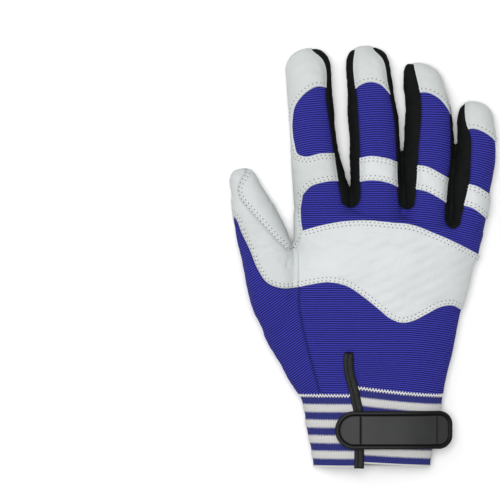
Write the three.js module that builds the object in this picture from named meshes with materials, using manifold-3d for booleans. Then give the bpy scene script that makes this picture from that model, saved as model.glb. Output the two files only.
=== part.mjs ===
// A work glove for the right hand, lying palm down: +Y to the fingertips, -X to the thumb, +Z up.
// The hollow glove is one shell of lofts, cut into its sewn panels along the seams, with the leather
// pieces of the back laid over it. All sizes are in millimetres.
import * as THREE from 'three';
import { mergeVertices } from 'three/addons/utils/BufferGeometryUtils.js';
import Module from 'manifold-3d';

const wasm = await Module();
wasm.setup();

// Hand and cuff
const palmWidth = 116; // across the knuckles
const palmLength = 112; // from the cuff seam to the webs of the fingers
const handThickness = 26; // at the knuckles, as the empty glove lies
const wristWidth = 86; // at the cuff seam
const wristThickness = 23;
const cuffLength = 42;
const hemWidth = 69;
const hemThickness = 20;
const hemLift = 0.8; // the hem lies this far above the surface
const seamHeight = 10; // of the side seams between palm and back, where every section is widest

// Walls
const wall = 1.6; // knit or leather with its seam allowance
const skin = 1; // leather sewn on over the knit
const seamGap = 0.3; // between any two pieces
const stripLeast = 0.8; // the black strips between the fingers are nowhere narrower

// Slit and tape
const slitLength = 27; // beyond the cuff seam, into the back of the hand
const tapeWidth = 3.2;
const tapeProud = 0.8; // the folded tape stands this far off both faces of the knit

// Closure tab
const tabLength = 70.6;
const tabWidth = 22.8;
const tabThickness = 2.2;
const tabRim = 2.4; // width of the low rim round the raised field
const tabField = 0.7; // the field stands this far above the rim
const tabGroove = 0.7;
const tabReach = 10; // of its length, past the side of the cuff
const tabPlace = 0.54; // of its middle, from the hem, as a share of the cuff's length
const tabSteepest = 0.42; // the moulded tab bends down no further than this slope
const tabCorner = 7.2; // at its fixed end; the free end is a half circle
const grooveFromFree = 15.2; // of the groove across the field, from the tab's free end
const grooveFromFixed = 9.4; // of the other groove, from the fixed end

// Fingers: length and width of each, root place as a share of the palm, lean to the little finger's
// side in degrees, and how far the tip leaves the finger's line as a share of its half width.
const fingerThickness = 20;
const thumbThickness = 20;
const digits = {
  index: { length: 91.2, width: 28.2, rootX: -0.362, rootY: 1.057, lean: -5.8, tipShift: 0 },
  middle: { length: 95.2, width: 28.8, rootX: -0.072, rootY: 1.031, lean: -4.5, tipShift: 0 },
  ring: { length: 89.5, width: 27.6, rootX: 0.186, rootY: 0.993, lean: -1.1, tipShift: -0.3 },
  little: { length: 72.2, width: 23.4, rootX: 0.388, rootY: 0.94, lean: 4.7, tipShift: -0.1 },
  thumb: { length: 82.9, width: 33, rootX: -0.559, rootY: 0.522, lean: -17.3, tipShift: 0 },
};

// Sides of each digit: along is a share of its length, left and right are shares of its half width.
// At the root, a side that faces another finger reaches a share of the way to that finger's root
// instead, so that the two meet at the web.
const sides = {
  index: [
    { along: -0.3, left: -0.95, right: 1.0 },
    { along: 0.0, left: -1.1, rightReach: 0.568 },
    { along: 0.12, left: -1.08, right: 1.2 },
    { along: 0.3, left: -1.04, right: 0.97 },
    { along: 0.5, left: -0.98, right: 0.89 },
    { along: 0.7, left: -0.94, right: 0.94 },
    { along: 0.86, left: -0.93, right: 0.97 },
  ],
  middle: [
    { along: -0.3, left: -0.95, right: 0.95 },
    { along: 0.0, leftReach: 0.478, rightReach: 0.543 },
    { along: 0.15, left: -1.04, right: 1.17 },
    { along: 0.34, left: -0.95, right: 1.17 },
    { along: 0.5, left: -0.91, right: 1.12 },
    { along: 0.68, left: -0.86, right: 1.03 },
    { along: 0.86, left: -0.84, right: 0.93 },
  ],
  ring: [
    { along: -0.3, left: -0.95, right: 0.9 },
    { along: 0.0, leftReach: 0.475, rightReach: 0.594 },
    { along: 0.18, left: -1.06, right: 1.1 },
    { along: 0.35, left: -1.04, right: 1.13 },
    { along: 0.55, left: -0.88, right: 1.12 },
    { along: 0.7, left: -0.8, right: 1.05 },
    { along: 0.84, left: -0.84, right: 0.78 },
  ],
  little: [
    { along: -0.3, left: -0.9, right: 0.78 },
    { along: 0.0, leftReach: 0.411, right: 0.98 },
    { along: 0.2, left: -0.92, right: 1.08 },
    { along: 0.4, left: -0.9, right: 1.16 },
    { along: 0.56, left: -0.78, right: 1.19 },
    { along: 0.7, left: -0.75, right: 1.09 },
    { along: 0.84, left: -0.84, right: 0.92 },
  ],
  thumb: [
    { along: -0.35, left: -0.8, right: 0.6 },
    { along: 0.0, left: -1.13, right: 0.8 },
    { along: 0.16, left: -1.12, right: 0.86 },
    { along: 0.38, left: -0.97, right: 0.93 },
    { along: 0.55, left: -0.92, right: 0.82 },
    { along: 0.72, left: -0.8, right: 0.64 },
    { along: 0.86, left: -0.6, right: 0.44 },
  ],
};

// Height of a digit over the surface: under and over are shares of its thickness.
const rise = [
  { along: -0.35, under: 0.06, over: 1.16 },
  { along: 0.0, under: 0.1, over: 1.18 },
  { along: 0.35, under: 0.16, over: 1.12 },
  { along: 0.7, under: 0.12, over: 1.0 },
  { along: 0.9, under: 0.05, over: 0.88 },
  { along: 1.0, under: 0.03, over: 0.84 },
];

// Hand, from the cuff seam to the webs: along is a share of its length. The sides are shares of the
// width, which goes from the palm's to the wrist's as wrist goes to 1, and slant is the row's fall
// towards the little finger. The thickness goes from the wrist's to the knuckles' as full goes to 1, and
// over is the share of it that the row has. The flat of the palm is where under is below 0.
const handRows = [
  { along: 0.0, left: -0.5, right: 0.5, wrist: 1, slant: 0, full: 0, under: -0.05, over: 1 },
  { along: 0.12, left: -0.564, right: 0.392, wrist: 0.5, slant: 0, full: 0.25, under: -0.06, over: 1 },
  { along: 0.24, left: -0.61, right: 0.321, wrist: 0, slant: 0, full: 0.5, under: -0.07, over: 1 },
  { along: 0.372, left: -0.663, right: 0.346, wrist: 0, slant: 0, full: 0.7, under: -0.07, over: 1 },
  { along: 0.468, left: -0.676, right: 0.367, wrist: 0, slant: 0, full: 0.8, under: -0.07, over: 1 },
  { along: 0.575, left: -0.634, right: 0.393, wrist: 0, slant: 0, full: 0.9, under: -0.07, over: 1 },
  { along: 0.682, left: -0.558, right: 0.42, wrist: 0, slant: 0, full: 1, under: -0.07, over: 1 },
  { along: 0.779, left: -0.506, right: 0.443, wrist: 0, slant: -0.02, full: 1, under: -0.07, over: 1 },
  { along: 0.88, left: -0.5, right: 0.475, wrist: 0, slant: -0.08, full: 1, under: -0.06, over: 1 },
  { along: 0.96, left: -0.49, right: 0.47, wrist: 0, slant: -0.13, full: 1, under: 0.02, over: 0.9 },
  { along: 1.0, left: -0.46, right: 0.42, wrist: 0, slant: -0.14, full: 1, under: 0.14, over: 0.5 },
];
const wristX = -0.099; // the wrist's middle, as a share of the palm's width
const cuffNarrowing = [
  { along: 1.0, share: 1 },
  { along: 0.39, share: 0.47 },
];

// Fineness of the lofts: sides of a section outside and in the hollow, and rings in a rounded tip.
const fine = { hand: 24, digit: 14 };
const coarse = { hand: 18, digit: 10 };
const tipRings = 3;
const tipBlunt = 0.35; // of a ring, left flat at the very tip
const tipFullness = 0.8; // below 1 the tip is squarer than a half circle
const squareness = 2.5; // of the sections, 2 being an ellipse

// Seams on the digits, as the outline of the black side strips: across is a share of the half width.
// The strips end beyond the tips.
const stripEdges = {
  back: {
    indexRight: [[1.08, 0.1], [0.985, 0.35], [0.93, 0.72], [0.64, 0.75], [0.38, 0.8], [0.2, 0.79], [0, 0.87]],
    middleLeft: [[1.08, -0.4], [0.98, -0.48], [0.93, -0.57], [0.66, -0.55], [0.39, -0.57], [0.09, -0.68]],
    middleRight: [[1.08, 0.3], [0.98, 0.45], [0.92, 0.76], [0.75, 0.85], [0.62, 0.98], [0.44, 1.04],
      [0.3, 1.0], [0.17, 0.93], [0.04, 0.93]],
    ringLeft: [[1.08, -0.4], [0.98, -0.44], [0.93, -0.38], [0.78, -0.2], [0.66, -0.19], [0.45, -0.33],
      [0.16, -0.48], [0.06, -0.57]],
    ringRight: [[1.08, 0.1], [0.93, 0.45], [0.84, 0.7], [0.74, 0.94], [0.62, 1.02], [0.45, 1.04],
      [0.29, 1.03], [0.18, 0.92], [0.0, 0.8]],
    littleLeft: [[1.08, -0.46], [0.93, -0.54], [0.84, -0.46], [0.71, -0.16], [0.51, -0.06], [0.35, -0.03],
      [0.18, -0.17], [0.02, -0.33]],
  },
  palm: {
    indexRight: [[1.08, 0.2], [0.97, 0.5], [0.9, 0.84], [0.5, 0.82], [0.3, 0.9], [0.1, 1.0]],
    middleLeft: [[1.08, -0.4], [0.95, -0.52], [0.66, -0.56], [0.4, -0.62], [0.1, -0.74]],
    middleRight: [[1.08, 0.3], [0.97, 0.5], [0.9, 0.84], [0.66, 0.96], [0.45, 1.06], [0.2, 1.06],
      [0.06, 1.0]],
    ringLeft: [[1.08, -0.5], [0.95, -0.76], [0.68, -0.72], [0.45, -0.88], [0.2, -0.96], [0.1, -0.92]],
    ringRight: [[1.08, 0.0], [0.93, 0.25], [0.8, 0.6], [0.66, 0.78], [0.45, 0.84], [0.2, 0.88], [0.02, 0.8]],
    littleLeft: [[1.08, -0.5], [0.93, -0.7], [0.78, -0.6], [0.5, -0.62], [0.2, -0.74], [0.04, -0.7]],
  },
};
// Bottoms of the strips, at the webs, midway between their edges: shares of the palm's length.
const webs = { back: [1.02, 1.009, 0.907], palm: [1.06, 1.053, 0.985] };

// Lower edges of the fingertip caps and both edges of the bands, in finger shares.
const capEdges = {
  middle: [[0.72, -0.7], [0.755, -0.35], [0.772, 0.1], [0.755, 0.48], [0.7, 0.84], [0.62, 1.25]],
  ring: [[0.8, -0.4], [0.795, 0.14], [0.76, 0.56], [0.7, 0.92], [0.6, 1.3]],
  little: [[0.76, -0.5], [0.774, 0.0], [0.755, 0.45], [0.71, 0.95], [0.65, 1.4]],
};
const bandEdges = {
  middle: { upper: [[0.3, -0.7], [0.309, -0.1], [0.294, 0.4], [0.24, 1.25]],
    lower: [[0.154, -0.8], [0.151, 0.0], [0.134, 0.45], [0.08, 1.2]] },
  ring: { upper: [[0.315, -0.6], [0.305, 0.0], [0.265, 0.5], [0.19, 1.3]],
    lower: [[0.16, -0.7], [0.135, -0.05], [0.095, 0.45], [0.03, 1.1]] },
  little: { upper: [[0.315, -0.3], [0.305, 0.3], [0.265, 0.85], [0.21, 1.4]],
    lower: [[0.14, -0.5], [0.11, 0.3], [0.06, 0.8], [-0.01, 1.4]] },
};

// Leather frame of the index finger: its lower edge on the finger, its side strip on the hand down to
// the thumb's crotch, and the knit window inside it, open to the black strip.
const frameLower = [[0.1, 1.4], [0.112, 0.82], [0.11, 0.1], [0.095, -0.36], [0.045, -0.74]];
const frameStrip = [[-0.466, 0.99], [-0.468, 0.9], [-0.492, 0.8]];
const frameWindow = [[0.72, 1.4], [0.731, 0.75], [0.741, 0.3], [0.71, -0.17], [0.63, -0.67], [0.51, -0.87],
  [0.4, -0.87], [0.31, -0.74], [0.293, -0.45], [0.304, 0.1], [0.297, 0.8], [0.29, 1.4]];

// Knuckle patch, in shares of the palm: the nearly straight upper edge and the scalloped lower edge.
const patchUpper = [[-0.455, 0.894], [-0.36, 0.922], [-0.16, 0.949], [-0.005, 0.936], [0.103, 0.924],
  [0.231, 0.876], [0.368, 0.812], [0.5, 0.74]];
const patchLower = [[0.5, 0.46], [0.368, 0.467], [0.312, 0.493], [0.257, 0.486], [0.183, 0.448],
  [0.109, 0.41], [0.054, 0.4], [-0.002, 0.419], [-0.066, 0.472], [-0.14, 0.534], [-0.232, 0.596],
  [-0.325, 0.616], [-0.417, 0.604], [-0.471, 0.592]];
const patchSide = [[-0.471, 0.78]];

// Thumb: the seam between its back and its front, on the back and on the palm side, in thumb shares.
const thumbSeamBack = [[1.08, 0.2], [0.96, 0.12], [0.928, -0.06], [0.86, -0.31], [0.8, -0.33], [0.69, -0.1],
  [0.56, 0.2], [0.44, 0.48], [0.335, 0.74]];
const thumbSeamPalm = [[1.08, -0.1], [0.95, -0.24], [0.8, -0.38], [0.66, -0.34], [0.54, -0.29]];
const crotch = [-0.501, 0.806]; // between the thumb and the hand, in shares of the palm
// Edge of the thumb's back over the gusset, in thumb shares from the outer side inwards, and from its
// ends the gusset's seams with the back and the palm, in shares of the palm.
const thumbLowerBack = [[0.721, -0.941], [0.661, -0.777], [0.561, -0.735], [0.419, -0.625], [0.274, -0.558],
  [0.151, -0.353], [0.081, 0.134], [0.057, 0.694]];
const thumbLowerPalm = [[0.724, -1.23], [0.596, -0.989], [0.507, -0.687], [0.46, -0.26]];
const gussetSeamBack = [[-0.477, 0.491], [-0.463, 0.405], [-0.436, 0.281], [-0.399, 0.137], [-0.355, -0.03]];
const gussetSeamPalm = [[-0.66, 0.69], [-0.626, 0.6], [-0.547, 0.457], [-0.448, 0.314], [-0.339, 0.17],
  [-0.24, -0.03]];

// Materials, by the piece they are for.
const materials = {
  leather: new THREE.MeshStandardMaterial({ color: 0xdfe3e2, roughness: 0.6, metalness: 0 }),
  knit: new THREE.MeshStandardMaterial({ color: 0x2f2f86, roughness: 0.9, metalness: 0 }),
  strip: new THREE.MeshStandardMaterial({ color: 0x0d0f0f, roughness: 0.85, metalness: 0 }),
  cuff: new THREE.MeshStandardMaterial({ color: 0x30336f, roughness: 0.9, metalness: 0 }),
  tape: new THREE.MeshStandardMaterial({ color: 0x292d2c, roughness: 0.8, metalness: 0 }),
  tab: new THREE.MeshStandardMaterial({ color: 0x3d3e3e, roughness: 0.55, metalness: 0 }),
};

const highest = handThickness * 2; // above every piece, for cuts
const far = palmWidth; // clear of the glove's sides, for cuts
const gloveGap = seamGap / 2; // each panel stands back this far from a seam
const crumb = 0.03; // edges shorter than this, which cuts leave, are closed up

// Solids

function solidOf(geometry) {
  const bare = geometry.clone();
  bare.deleteAttribute('normal');
  bare.deleteAttribute('uv');
  const merged = mergeVertices(bare, 1e-4);
  const vertProperties = new Float32Array(merged.attributes.position.array);
  const triVerts = new Uint32Array(merged.index.array);
  return new wasm.Manifold(new wasm.Mesh({ numProp: 3, vertProperties, triVerts }));
}

function meshOf(name, solid, material) {
  const made = solid.simplify(crumb).getMesh();
  const geometry = new THREE.BufferGeometry();
  geometry.setAttribute('position', new THREE.BufferAttribute(new Float32Array(made.vertProperties), 3));
  geometry.setIndex(new THREE.BufferAttribute(new Uint32Array(made.triVerts), 1));
  geometry.computeVertexNormals();
  const mesh = new THREE.Mesh(geometry, material);
  mesh.name = name;
  return mesh;
}

// A closed loft through rings of equally many points, each ring running the same way round.
function loft(rings) {
  const sides = rings[0].length;
  const points = rings.flat();
  const faces = [];
  for (let r = 0; r + 1 < rings.length; r += 1) {
    for (let s = 0; s < sides; s += 1) {
      const a = r * sides + s;
      const b = r * sides + (s + 1) % sides;
      faces.push(a, b + sides, b, a, a + sides, b + sides);
    }
  }
  const first = points.length;
  points.push(middleOf(rings[0]), middleOf(rings.at(-1)));
  const lastRing = (rings.length - 1) * sides;
  for (let s = 0; s < sides; s += 1) {
    const next = (s + 1) % sides;
    faces.push(first, s, next);
    faces.push(first + 1, lastRing + next, lastRing + s);
  }
  const geometry = new THREE.BufferGeometry().setFromPoints(points);
  geometry.setIndex(faces);
  return solidOf(geometry);
}

function middleOf(ring) {
  const sum = ring.reduce((total, point) => total.add(point), new THREE.Vector3());
  return sum.divideScalar(ring.length);
}

// Value of a table's column at a place between its rows.
function between(rows, key, along, column) {
  const sorted = [...rows].sort((a, b) => a[key] - b[key]);
  if (along <= sorted[0][key]) return sorted[0][column];
  for (let i = 1; i < sorted.length; i += 1) {
    const low = sorted[i - 1];
    const high = sorted[i];
    if (along <= high[key]) {
      const share = (along - low[key]) / (high[key] - low[key]);
      return low[column] + (high[column] - low[column]) * share;
    }
  }
  return sorted.at(-1)[column];
}

// One point of a squared ellipse, at a turn of 0 to 1.
function onSection(turn) {
  const angle = turn * 2 * Math.PI;
  const power = 2 / squareness;
  const bend = (value) => Math.sign(value) * Math.abs(value) ** power;
  return { across: bend(Math.cos(angle)), up: bend(Math.sin(angle)) };
}

// Height of a section's point: up goes from -1 under the glove over 0 at the seams to 1 on top.
function heightOf(up, under, over, size, grow) {
  const reach = up > 0 ? over - seamHeight : seamHeight - under;
  return seamHeight + up * (reach * size + grow);
}

// Places

function handPoint([x, y]) {
  return new THREE.Vector2(x * palmWidth, cuffLength + y * palmLength);
}

function rootOf(name) {
  return handPoint([digits[name].rootX, digits[name].rootY]);
}

function digitPoint(name, [along, across]) {
  const digit = digits[name];
  const lean = THREE.MathUtils.degToRad(digit.lean);
  const forward = new THREE.Vector2(Math.sin(lean), Math.cos(lean));
  const aside = new THREE.Vector2(forward.y, -forward.x);
  return rootOf(name).addScaledVector(forward, along * digit.length)
    .addScaledVector(aside, across * digit.width / 2);
}

// A smooth line through a few points.
function smooth(points, pieces) {
  return new THREE.SplineCurve(points).getPoints((points.length - 1) * pieces);
}

const onHand = (rows) => rows.map(handPoint);
const onDigit = (name, rows) => rows.map((row) => digitPoint(name, row));

const sharpest = 0.4; // a corner of an outline moves out no further than its distance over this

// An outline grown by a distance on all its sides.
function grown(outline, distance) {
  if (distance === 0) return outline;
  const turn = THREE.ShapeUtils.area(outline) > 0 ? 1 : -1;
  return outline.map((point, i) => {
    const before = outline.at(i - 1);
    const after = outline[(i + 1) % outline.length];
    const into = point.clone().sub(before).normalize();
    const out = after.clone().sub(point).normalize();
    const normal = new THREE.Vector2(into.y + out.y, -into.x - out.x).normalize();
    const lean = Math.max(normal.x * into.y - normal.y * into.x, sharpest);
    return point.clone().addScaledVector(normal, turn * distance / lean);
  });
}

// An upright block over an outline.
function block(outline, from, to, grow = 0) {
  const geometry = new THREE.ExtrudeGeometry(new THREE.Shape(grown(outline, grow)), {
    depth: to - from,
    bevelEnabled: false,
  });
  geometry.translate(0, 0, from);
  return solidOf(geometry);
}

function box(x0, x1, y0, y1, z0, z1) {
  const geometry = new THREE.BoxGeometry(x1 - x0, y1 - y0, z1 - z0);
  geometry.translate((x0 + x1) / 2, (y0 + y1) / 2, (z0 + z1) / 2);
  return solidOf(geometry);
}

// The hand with its cuff, and the digits, each grown by a distance. A negative one gives the hollow.

function handSection(row) {
  const width = palmWidth + (wristWidth - palmWidth) * row.wrist;
  const middle = wristX * palmWidth * row.wrist;
  const thickness = wristThickness + (handThickness - wristThickness) * row.full;
  return {
    y: cuffLength + row.along * palmLength,
    left: middle + row.left * width,
    right: middle + row.right * width,
    under: row.under * handThickness,
    over: thickness * row.over,
    slant: row.slant * palmLength / palmWidth,
  };
}

function cuffSection(row) {
  const half = (wristWidth + (hemWidth - wristWidth) * row.share) / 2;
  return {
    y: cuffLength * (1 - row.along),
    left: wristX * palmWidth - half,
    right: wristX * palmWidth + half,
    under: hemLift * row.share - (1 - row.share),
    over: wristThickness + (hemLift + hemThickness - wristThickness) * row.share,
    slant: 0,
  };
}

const handSections = [...cuffNarrowing.map(cuffSection), ...handRows.map(handSection)];

function handBody(grow, count = fine.hand) {
  const rings = handSections.map((section, i) => {
    const ends = { first: i === 0, last: i === handSections.length - 1 };
    const y = section.y + (ends.last ? grow : 0) - (ends.first && grow < 0 ? wall : 0);
    return Array.from({ length: count }, (_, s) => {
      const at = onSection(s / count);
      const x = (section.left + section.right) / 2 + at.across * ((section.right - section.left) / 2 + grow);
      const z = heightOf(at.up, section.under, section.over, 1, grow);
      return new THREE.Vector3(x, y + section.slant * x, z);
    });
  });
  return loft(rings);
}

const fingerOrder = ['index', 'middle', 'ring', 'little'];

// Shares of the half width at which a digit's row has its two sides.
function reachTo(name, step, share) {
  const next = fingerOrder[fingerOrder.indexOf(name) + step];
  const apart = rootOf(name).distanceTo(rootOf(next));
  return step * share * apart / (digits[name].width / 2);
}

function sideRow(name, row) {
  return {
    along: row.along,
    left: row.left ?? reachTo(name, -1, row.leftReach),
    right: row.right ?? reachTo(name, 1, row.rightReach),
  };
}

function digitBody(name, grow, count) {
  const digit = digits[name];
  const thickness = name === 'thumb' ? thumbThickness : fingerThickness;
  const rows = sides[name].map((row) => sideRow(name, row));
  const last = rows.at(-1);
  const stations = rows.map((row) => ({ ...row, size: 1, shift: 0 }));
  for (let ring = 1; ring <= tipRings; ring += 1) {
    const turn = ring / (tipRings + tipBlunt) * Math.PI / 2;
    stations.push({
      along: last.along + (1 - last.along) * Math.sin(turn),
      left: last.left,
      right: last.right,
      size: Math.cos(turn) ** tipFullness,
      shift: digit.tipShift * (1 - Math.cos(turn)),
    });
  }
  const rings = stations.map((station, i) => {
    const start = i === 0 && grow < 0 ? 0 : grow;
    const along = station.along + (i === 0 ? -start : grow * Math.max(0, station.along - last.along)
      / (1 - last.along)) / digit.length;
    const under = between(rise, 'along', station.along, 'under') * thickness;
    const over = between(rise, 'along', station.along, 'over') * thickness;
    const half = (station.right - station.left) / 2 * station.size + grow * 2 / digit.width;
    const middle = (station.right + station.left) / 2 + station.shift;
    return Array.from({ length: count }, (_, s) => {
      const at = onSection(s / count);
      const place = digitPoint(name, [along, middle + at.across * half]);
      return new THREE.Vector3(place.x, place.y, heightOf(at.up, under, over, station.size, grow));
    });
  });
  return loft(rings);
}

function gloveBody(grow, count = fine) {
  const fingers = Object.keys(digits).map((name) => digitBody(name, grow, count.digit));
  const whole = fingers.reduce((body, finger) => body.add(finger), handBody(grow, count.hand));
  const floor = Math.max(0, -grow);
  return whole.intersect(box(-far * 2, far * 2, -far, far * 4, floor, highest));
}

const outer = gloveBody(0);
const hollow = gloveBody(-wall, coarse);
const shell = outer.subtract(hollow);

// Panels. Each is a piece of the shell over one outline on the back and another on the palm side, which
// change over at the seam height.

function panelBlock({ back, palm }, grow = 0) {
  const above = block(back, seamHeight - grow, highest, grow);
  const below = block(palm, -wall, seamHeight + grow, grow);
  return above.add(below);
}

// Black strips between two fingers, from the web to past both tips.
const strips = [
  { name: 'fourchette_index_middle', fingers: ['index', 'middle'], edges: ['indexRight', 'middleLeft'] },
  { name: 'fourchette_middle_ring', fingers: ['middle', 'ring'], edges: ['middleRight', 'ringLeft'] },
  { name: 'fourchette_ring_little', fingers: ['ring', 'little'], edges: ['ringRight', 'littleLeft'] },
];

// The points of one edge, each kept the strip's least width from the other edge: side is -1 for the
// edge on the left and 1 for the edge on the right.
function clearOf(edge, other, side) {
  const rows = other.map((point) => ({ x: point.x, y: point.y }));
  return edge.map((point) => {
    const spare = side * (point.x - between(rows, 'y', point.y, 'x'));
    return new THREE.Vector2(point.x + side * Math.max(0, stripLeast - spare) / 2, point.y);
  });
}

function stripOutline(strip, i, side) {
  const [near, next] = strip.fingers;
  const up = onDigit(near, [...stripEdges[side][strip.edges[0]]].reverse());
  const down = onDigit(next, stripEdges[side][strip.edges[1]]);
  const web = new THREE.Vector2((up[0].x + down.at(-1).x) / 2, handPoint([0, webs[side][i]]).y);
  return [web, ...clearOf(up, down, -1), ...clearOf(down, up, 1)];
}

const stripPanels = strips.map((strip, i) => ({
  name: strip.name,
  back: stripOutline(strip, i, 'back'),
  palm: stripOutline(strip, i, 'palm'),
}));

// Corners outside the thumb's side of the glove, which close the outlines there, in shares of the palm.
const outside = { x: -1, top: 1.5, thumb: 0.99, wrist: -0.03 };
const outsideCorner = (y) => handPoint([outside.x, y]);

const lowerBack = onDigit('thumb', thumbLowerBack);
const lowerPalm = onDigit('thumb', thumbLowerPalm);
const belowCrotch = new THREE.Vector2(lowerBack.at(-1).x, handPoint(crotch).y);
const thumbBackPanel = {
  back: [...onDigit('thumb', thumbSeamBack), handPoint(crotch), belowCrotch, ...[...lowerBack].reverse(),
    outsideCorner(outside.thumb), outsideCorner(outside.top)],
  palm: [...onDigit('thumb', thumbSeamPalm), ...[...lowerPalm].reverse(), outsideCorner(outside.thumb),
    outsideCorner(outside.top)],
};
const gussetPanel = {
  back: [outsideCorner(outside.thumb), ...lowerBack, ...onHand(gussetSeamBack), outsideCorner(outside.wrist)],
  palm: [outsideCorner(outside.thumb), ...lowerPalm, ...onHand(gussetSeamPalm), outsideCorner(outside.wrist)],
};
// The thumb's front on the back of the glove, up through the free space between thumb and hand.
const thumbFrontOutline = [...onDigit('thumb', thumbSeamBack), ...crotchPath()];

function crotchPath() {
  return [crotch, [-0.514, 0.83], [-0.524, 0.885], [-0.55, 1], [-0.6, outside.top]].map(handPoint);
}

const acrossAll = [-far * 2, far * 2];
const handPart = shell.intersect(box(...acrossAll, cuffLength + gloveGap, far * 4, -wall, highest));
const cuffPart = shell.intersect(box(...acrossAll, -far, cuffLength - gloveGap, -wall, highest));
const palmHalf = box(...acrossAll, -far, far * 4, -wall, seamHeight - gloveGap);
const backHalf = box(...acrossAll, -far, far * 4, seamHeight + gloveGap, highest);

const stripCuts = stripPanels.map((panel) => panelBlock(panel, seamGap));
const sewnIn = [panelBlock(thumbBackPanel, seamGap), panelBlock(gussetPanel, seamGap), ...stripCuts];
const withoutSewnIn = (solid) => sewnIn.reduce((left, cut) => left.subtract(cut), solid);
const thumbFront = (grow) => block(thumbFrontOutline, seamHeight - seamGap, highest, grow);

// Slit: the line down its middle, from its end in the back of the hand to past the hem. beyond is a
// share of the slit's length past the cuff seam, and down is a share of the cuff's length.
const slitInHand = [
  { beyond: 1.0, x: -0.219 },
  { beyond: 0.79, x: -0.221 },
  { beyond: 0.56, x: -0.216 },
  { beyond: 0.25, x: -0.198 },
];
const slitInCuff = [
  { down: 0.05, x: -0.181 },
  { down: 0.2, x: -0.17 },
  { down: 0.45, x: -0.166 },
  { down: 1.1, x: -0.166 },
];
const slitLine = [
  ...slitInHand.map((row) => new THREE.Vector2(row.x * palmWidth, cuffLength + row.beyond * slitLength)),
  ...slitInCuff.map((row) => new THREE.Vector2(row.x * palmWidth, cuffLength * (1 - row.down))),
];

// A ribbon along a line, between two distances to its side.
function ribbon(line, from, to) {
  const points = smooth(line, 2);
  const beside = (distance) => points.map((point, i) => {
    const before = points[Math.max(i - 1, 0)];
    const along = points[Math.min(i + 1, points.length - 1)].clone().sub(before).normalize();
    return new THREE.Vector2(point.x - along.y * distance, point.y + along.x * distance);
  });
  return [...beside(from), ...beside(to).reverse()];
}

const slitCut = block(ribbon(slitLine, -tapeWidth, tapeWidth), seamHeight, highest, seamGap);
const tapeLayer = handBody(tapeProud).subtract(handBody(-wall - tapeProud));
const tapeOver = (from, to) => tapeLayer
  .intersect(block(ribbon(slitLine, from, to), seamHeight, highest))
  .intersect(box(...acrossAll, 0, far * 4, seamHeight, highest));

// Leather over the back knit
const skinLayer = gloveBody(seamGap + skin).subtract(gloveBody(seamGap))
  .intersect(box(...acrossAll, cuffLength, far * 4, seamHeight + gloveGap, highest));
const withoutStrips = (solid) => stripCuts.reduce((left, cut) => left.subtract(cut), solid);
const overBack = (outline) => withoutStrips(skinLayer.intersect(block(outline, 0, highest)));

const pastTip = 1.2; // share of a finger's length, for outlines that take in the tip
const wide = 1.4; // share of a finger's half width, for outlines that run past its sides

function capOutline(name) {
  const top = [[pastTip, wide], [pastTip, -wide]].map((row) => digitPoint(name, row));
  return [...onDigit(name, capEdges[name]), ...top];
}

function bandOutline(name) {
  const { upper, lower } = bandEdges[name];
  return [...onDigit(name, lower), ...onDigit(name, upper).reverse()];
}

const indexOutline = [
  ...[[pastTip, -wide], [pastTip, wide]].map((row) => digitPoint('index', row)),
  ...onDigit('index', frameLower),
  ...onHand(frameStrip),
  ...crotchPath(),
];
const patchOutline = [...onHand(patchUpper), ...onHand(patchLower), ...onHand(patchSide)];

// Closure tab: an arched strip that follows the cuff's top and runs on past its side.
const tabMiddle = cuffLength * tabPlace;
const tabStations = 10;

function sectionAt(y) {
  const pick = (column) => between(handSections, 'y', y, column);
  return { left: pick('left'), right: pick('right'), under: pick('under'), over: pick('over') };
}

function heightOver(x, y) {
  const { left, right, under, over } = sectionAt(y);
  const across = Math.min(1, Math.abs(x - (left + right) / 2) / ((right - left) / 2));
  return heightOf((1 - across ** squareness) ** (1 / squareness), under, over, 1, 0);
}

const tabRight = sectionAt(tabMiddle).right + tabReach;
const tabLeft = tabRight - tabLength;

function tabSeat() {
  const edges = [tabMiddle - tabWidth / 2, tabMiddle + tabWidth / 2];
  const seat = [];
  for (let i = 0; i <= tabStations; i += 1) {
    const x = tabLeft + tabLength * i / tabStations;
    const before = seat.at(-1);
    const resting = Math.max(...edges.map((y) => heightOver(x, y))) + tapeProud + seamGap;
    const stiff = before ? before.z - tabSteepest * (x - before.x) : resting;
    seat.push({ x, z: Math.max(resting, stiff) });
  }
  return seat;
}

function tabSlab(from, to) {
  const low = tabMiddle - tabWidth;
  const high = tabMiddle + tabWidth;
  return loft(tabSeat().map(({ x, z }) => [
    new THREE.Vector3(x, low, z + from),
    new THREE.Vector3(x, low, z + to),
    new THREE.Vector3(x, high, z + to),
    new THREE.Vector3(x, high, z + from),
  ]));
}

function tabOutline(inset) {
  const low = tabMiddle - tabWidth / 2 + inset;
  const high = tabMiddle + tabWidth / 2 - inset;
  const end = tabWidth / 2 - inset;
  const corner = tabCorner - inset;
  const shape = new THREE.Shape();
  shape.absarc(tabLeft + inset + end, tabMiddle, end, Math.PI / 2, Math.PI * 1.5, false);
  shape.absarc(tabRight - inset - corner, low + corner, corner, -Math.PI / 2, 0, false);
  shape.absarc(tabRight - inset - corner, high - corner, corner, 0, Math.PI / 2, false);
  return shape.getPoints(5);
}

const tabGrooves = [tabLeft + grooveFromFree, tabRight - grooveFromFixed];

function wristTab() {
  const plate = tabSlab(0, tabThickness).intersect(block(tabOutline(0), 0, highest * 2));
  const raised = tabSlab(tabThickness / 2, tabThickness + tabField)
    .intersect(block(tabOutline(tabRim), 0, highest * 2));
  const cuts = tabGrooves.map((x) => tabSlab(tabThickness, highest)
    .intersect(box(x - tabGroove / 2, x + tabGroove / 2, 0, cuffLength, 0, highest * 2)));
  return cuts.reduce((tab, cut) => tab.subtract(cut), plate.add(raised));
}

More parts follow.
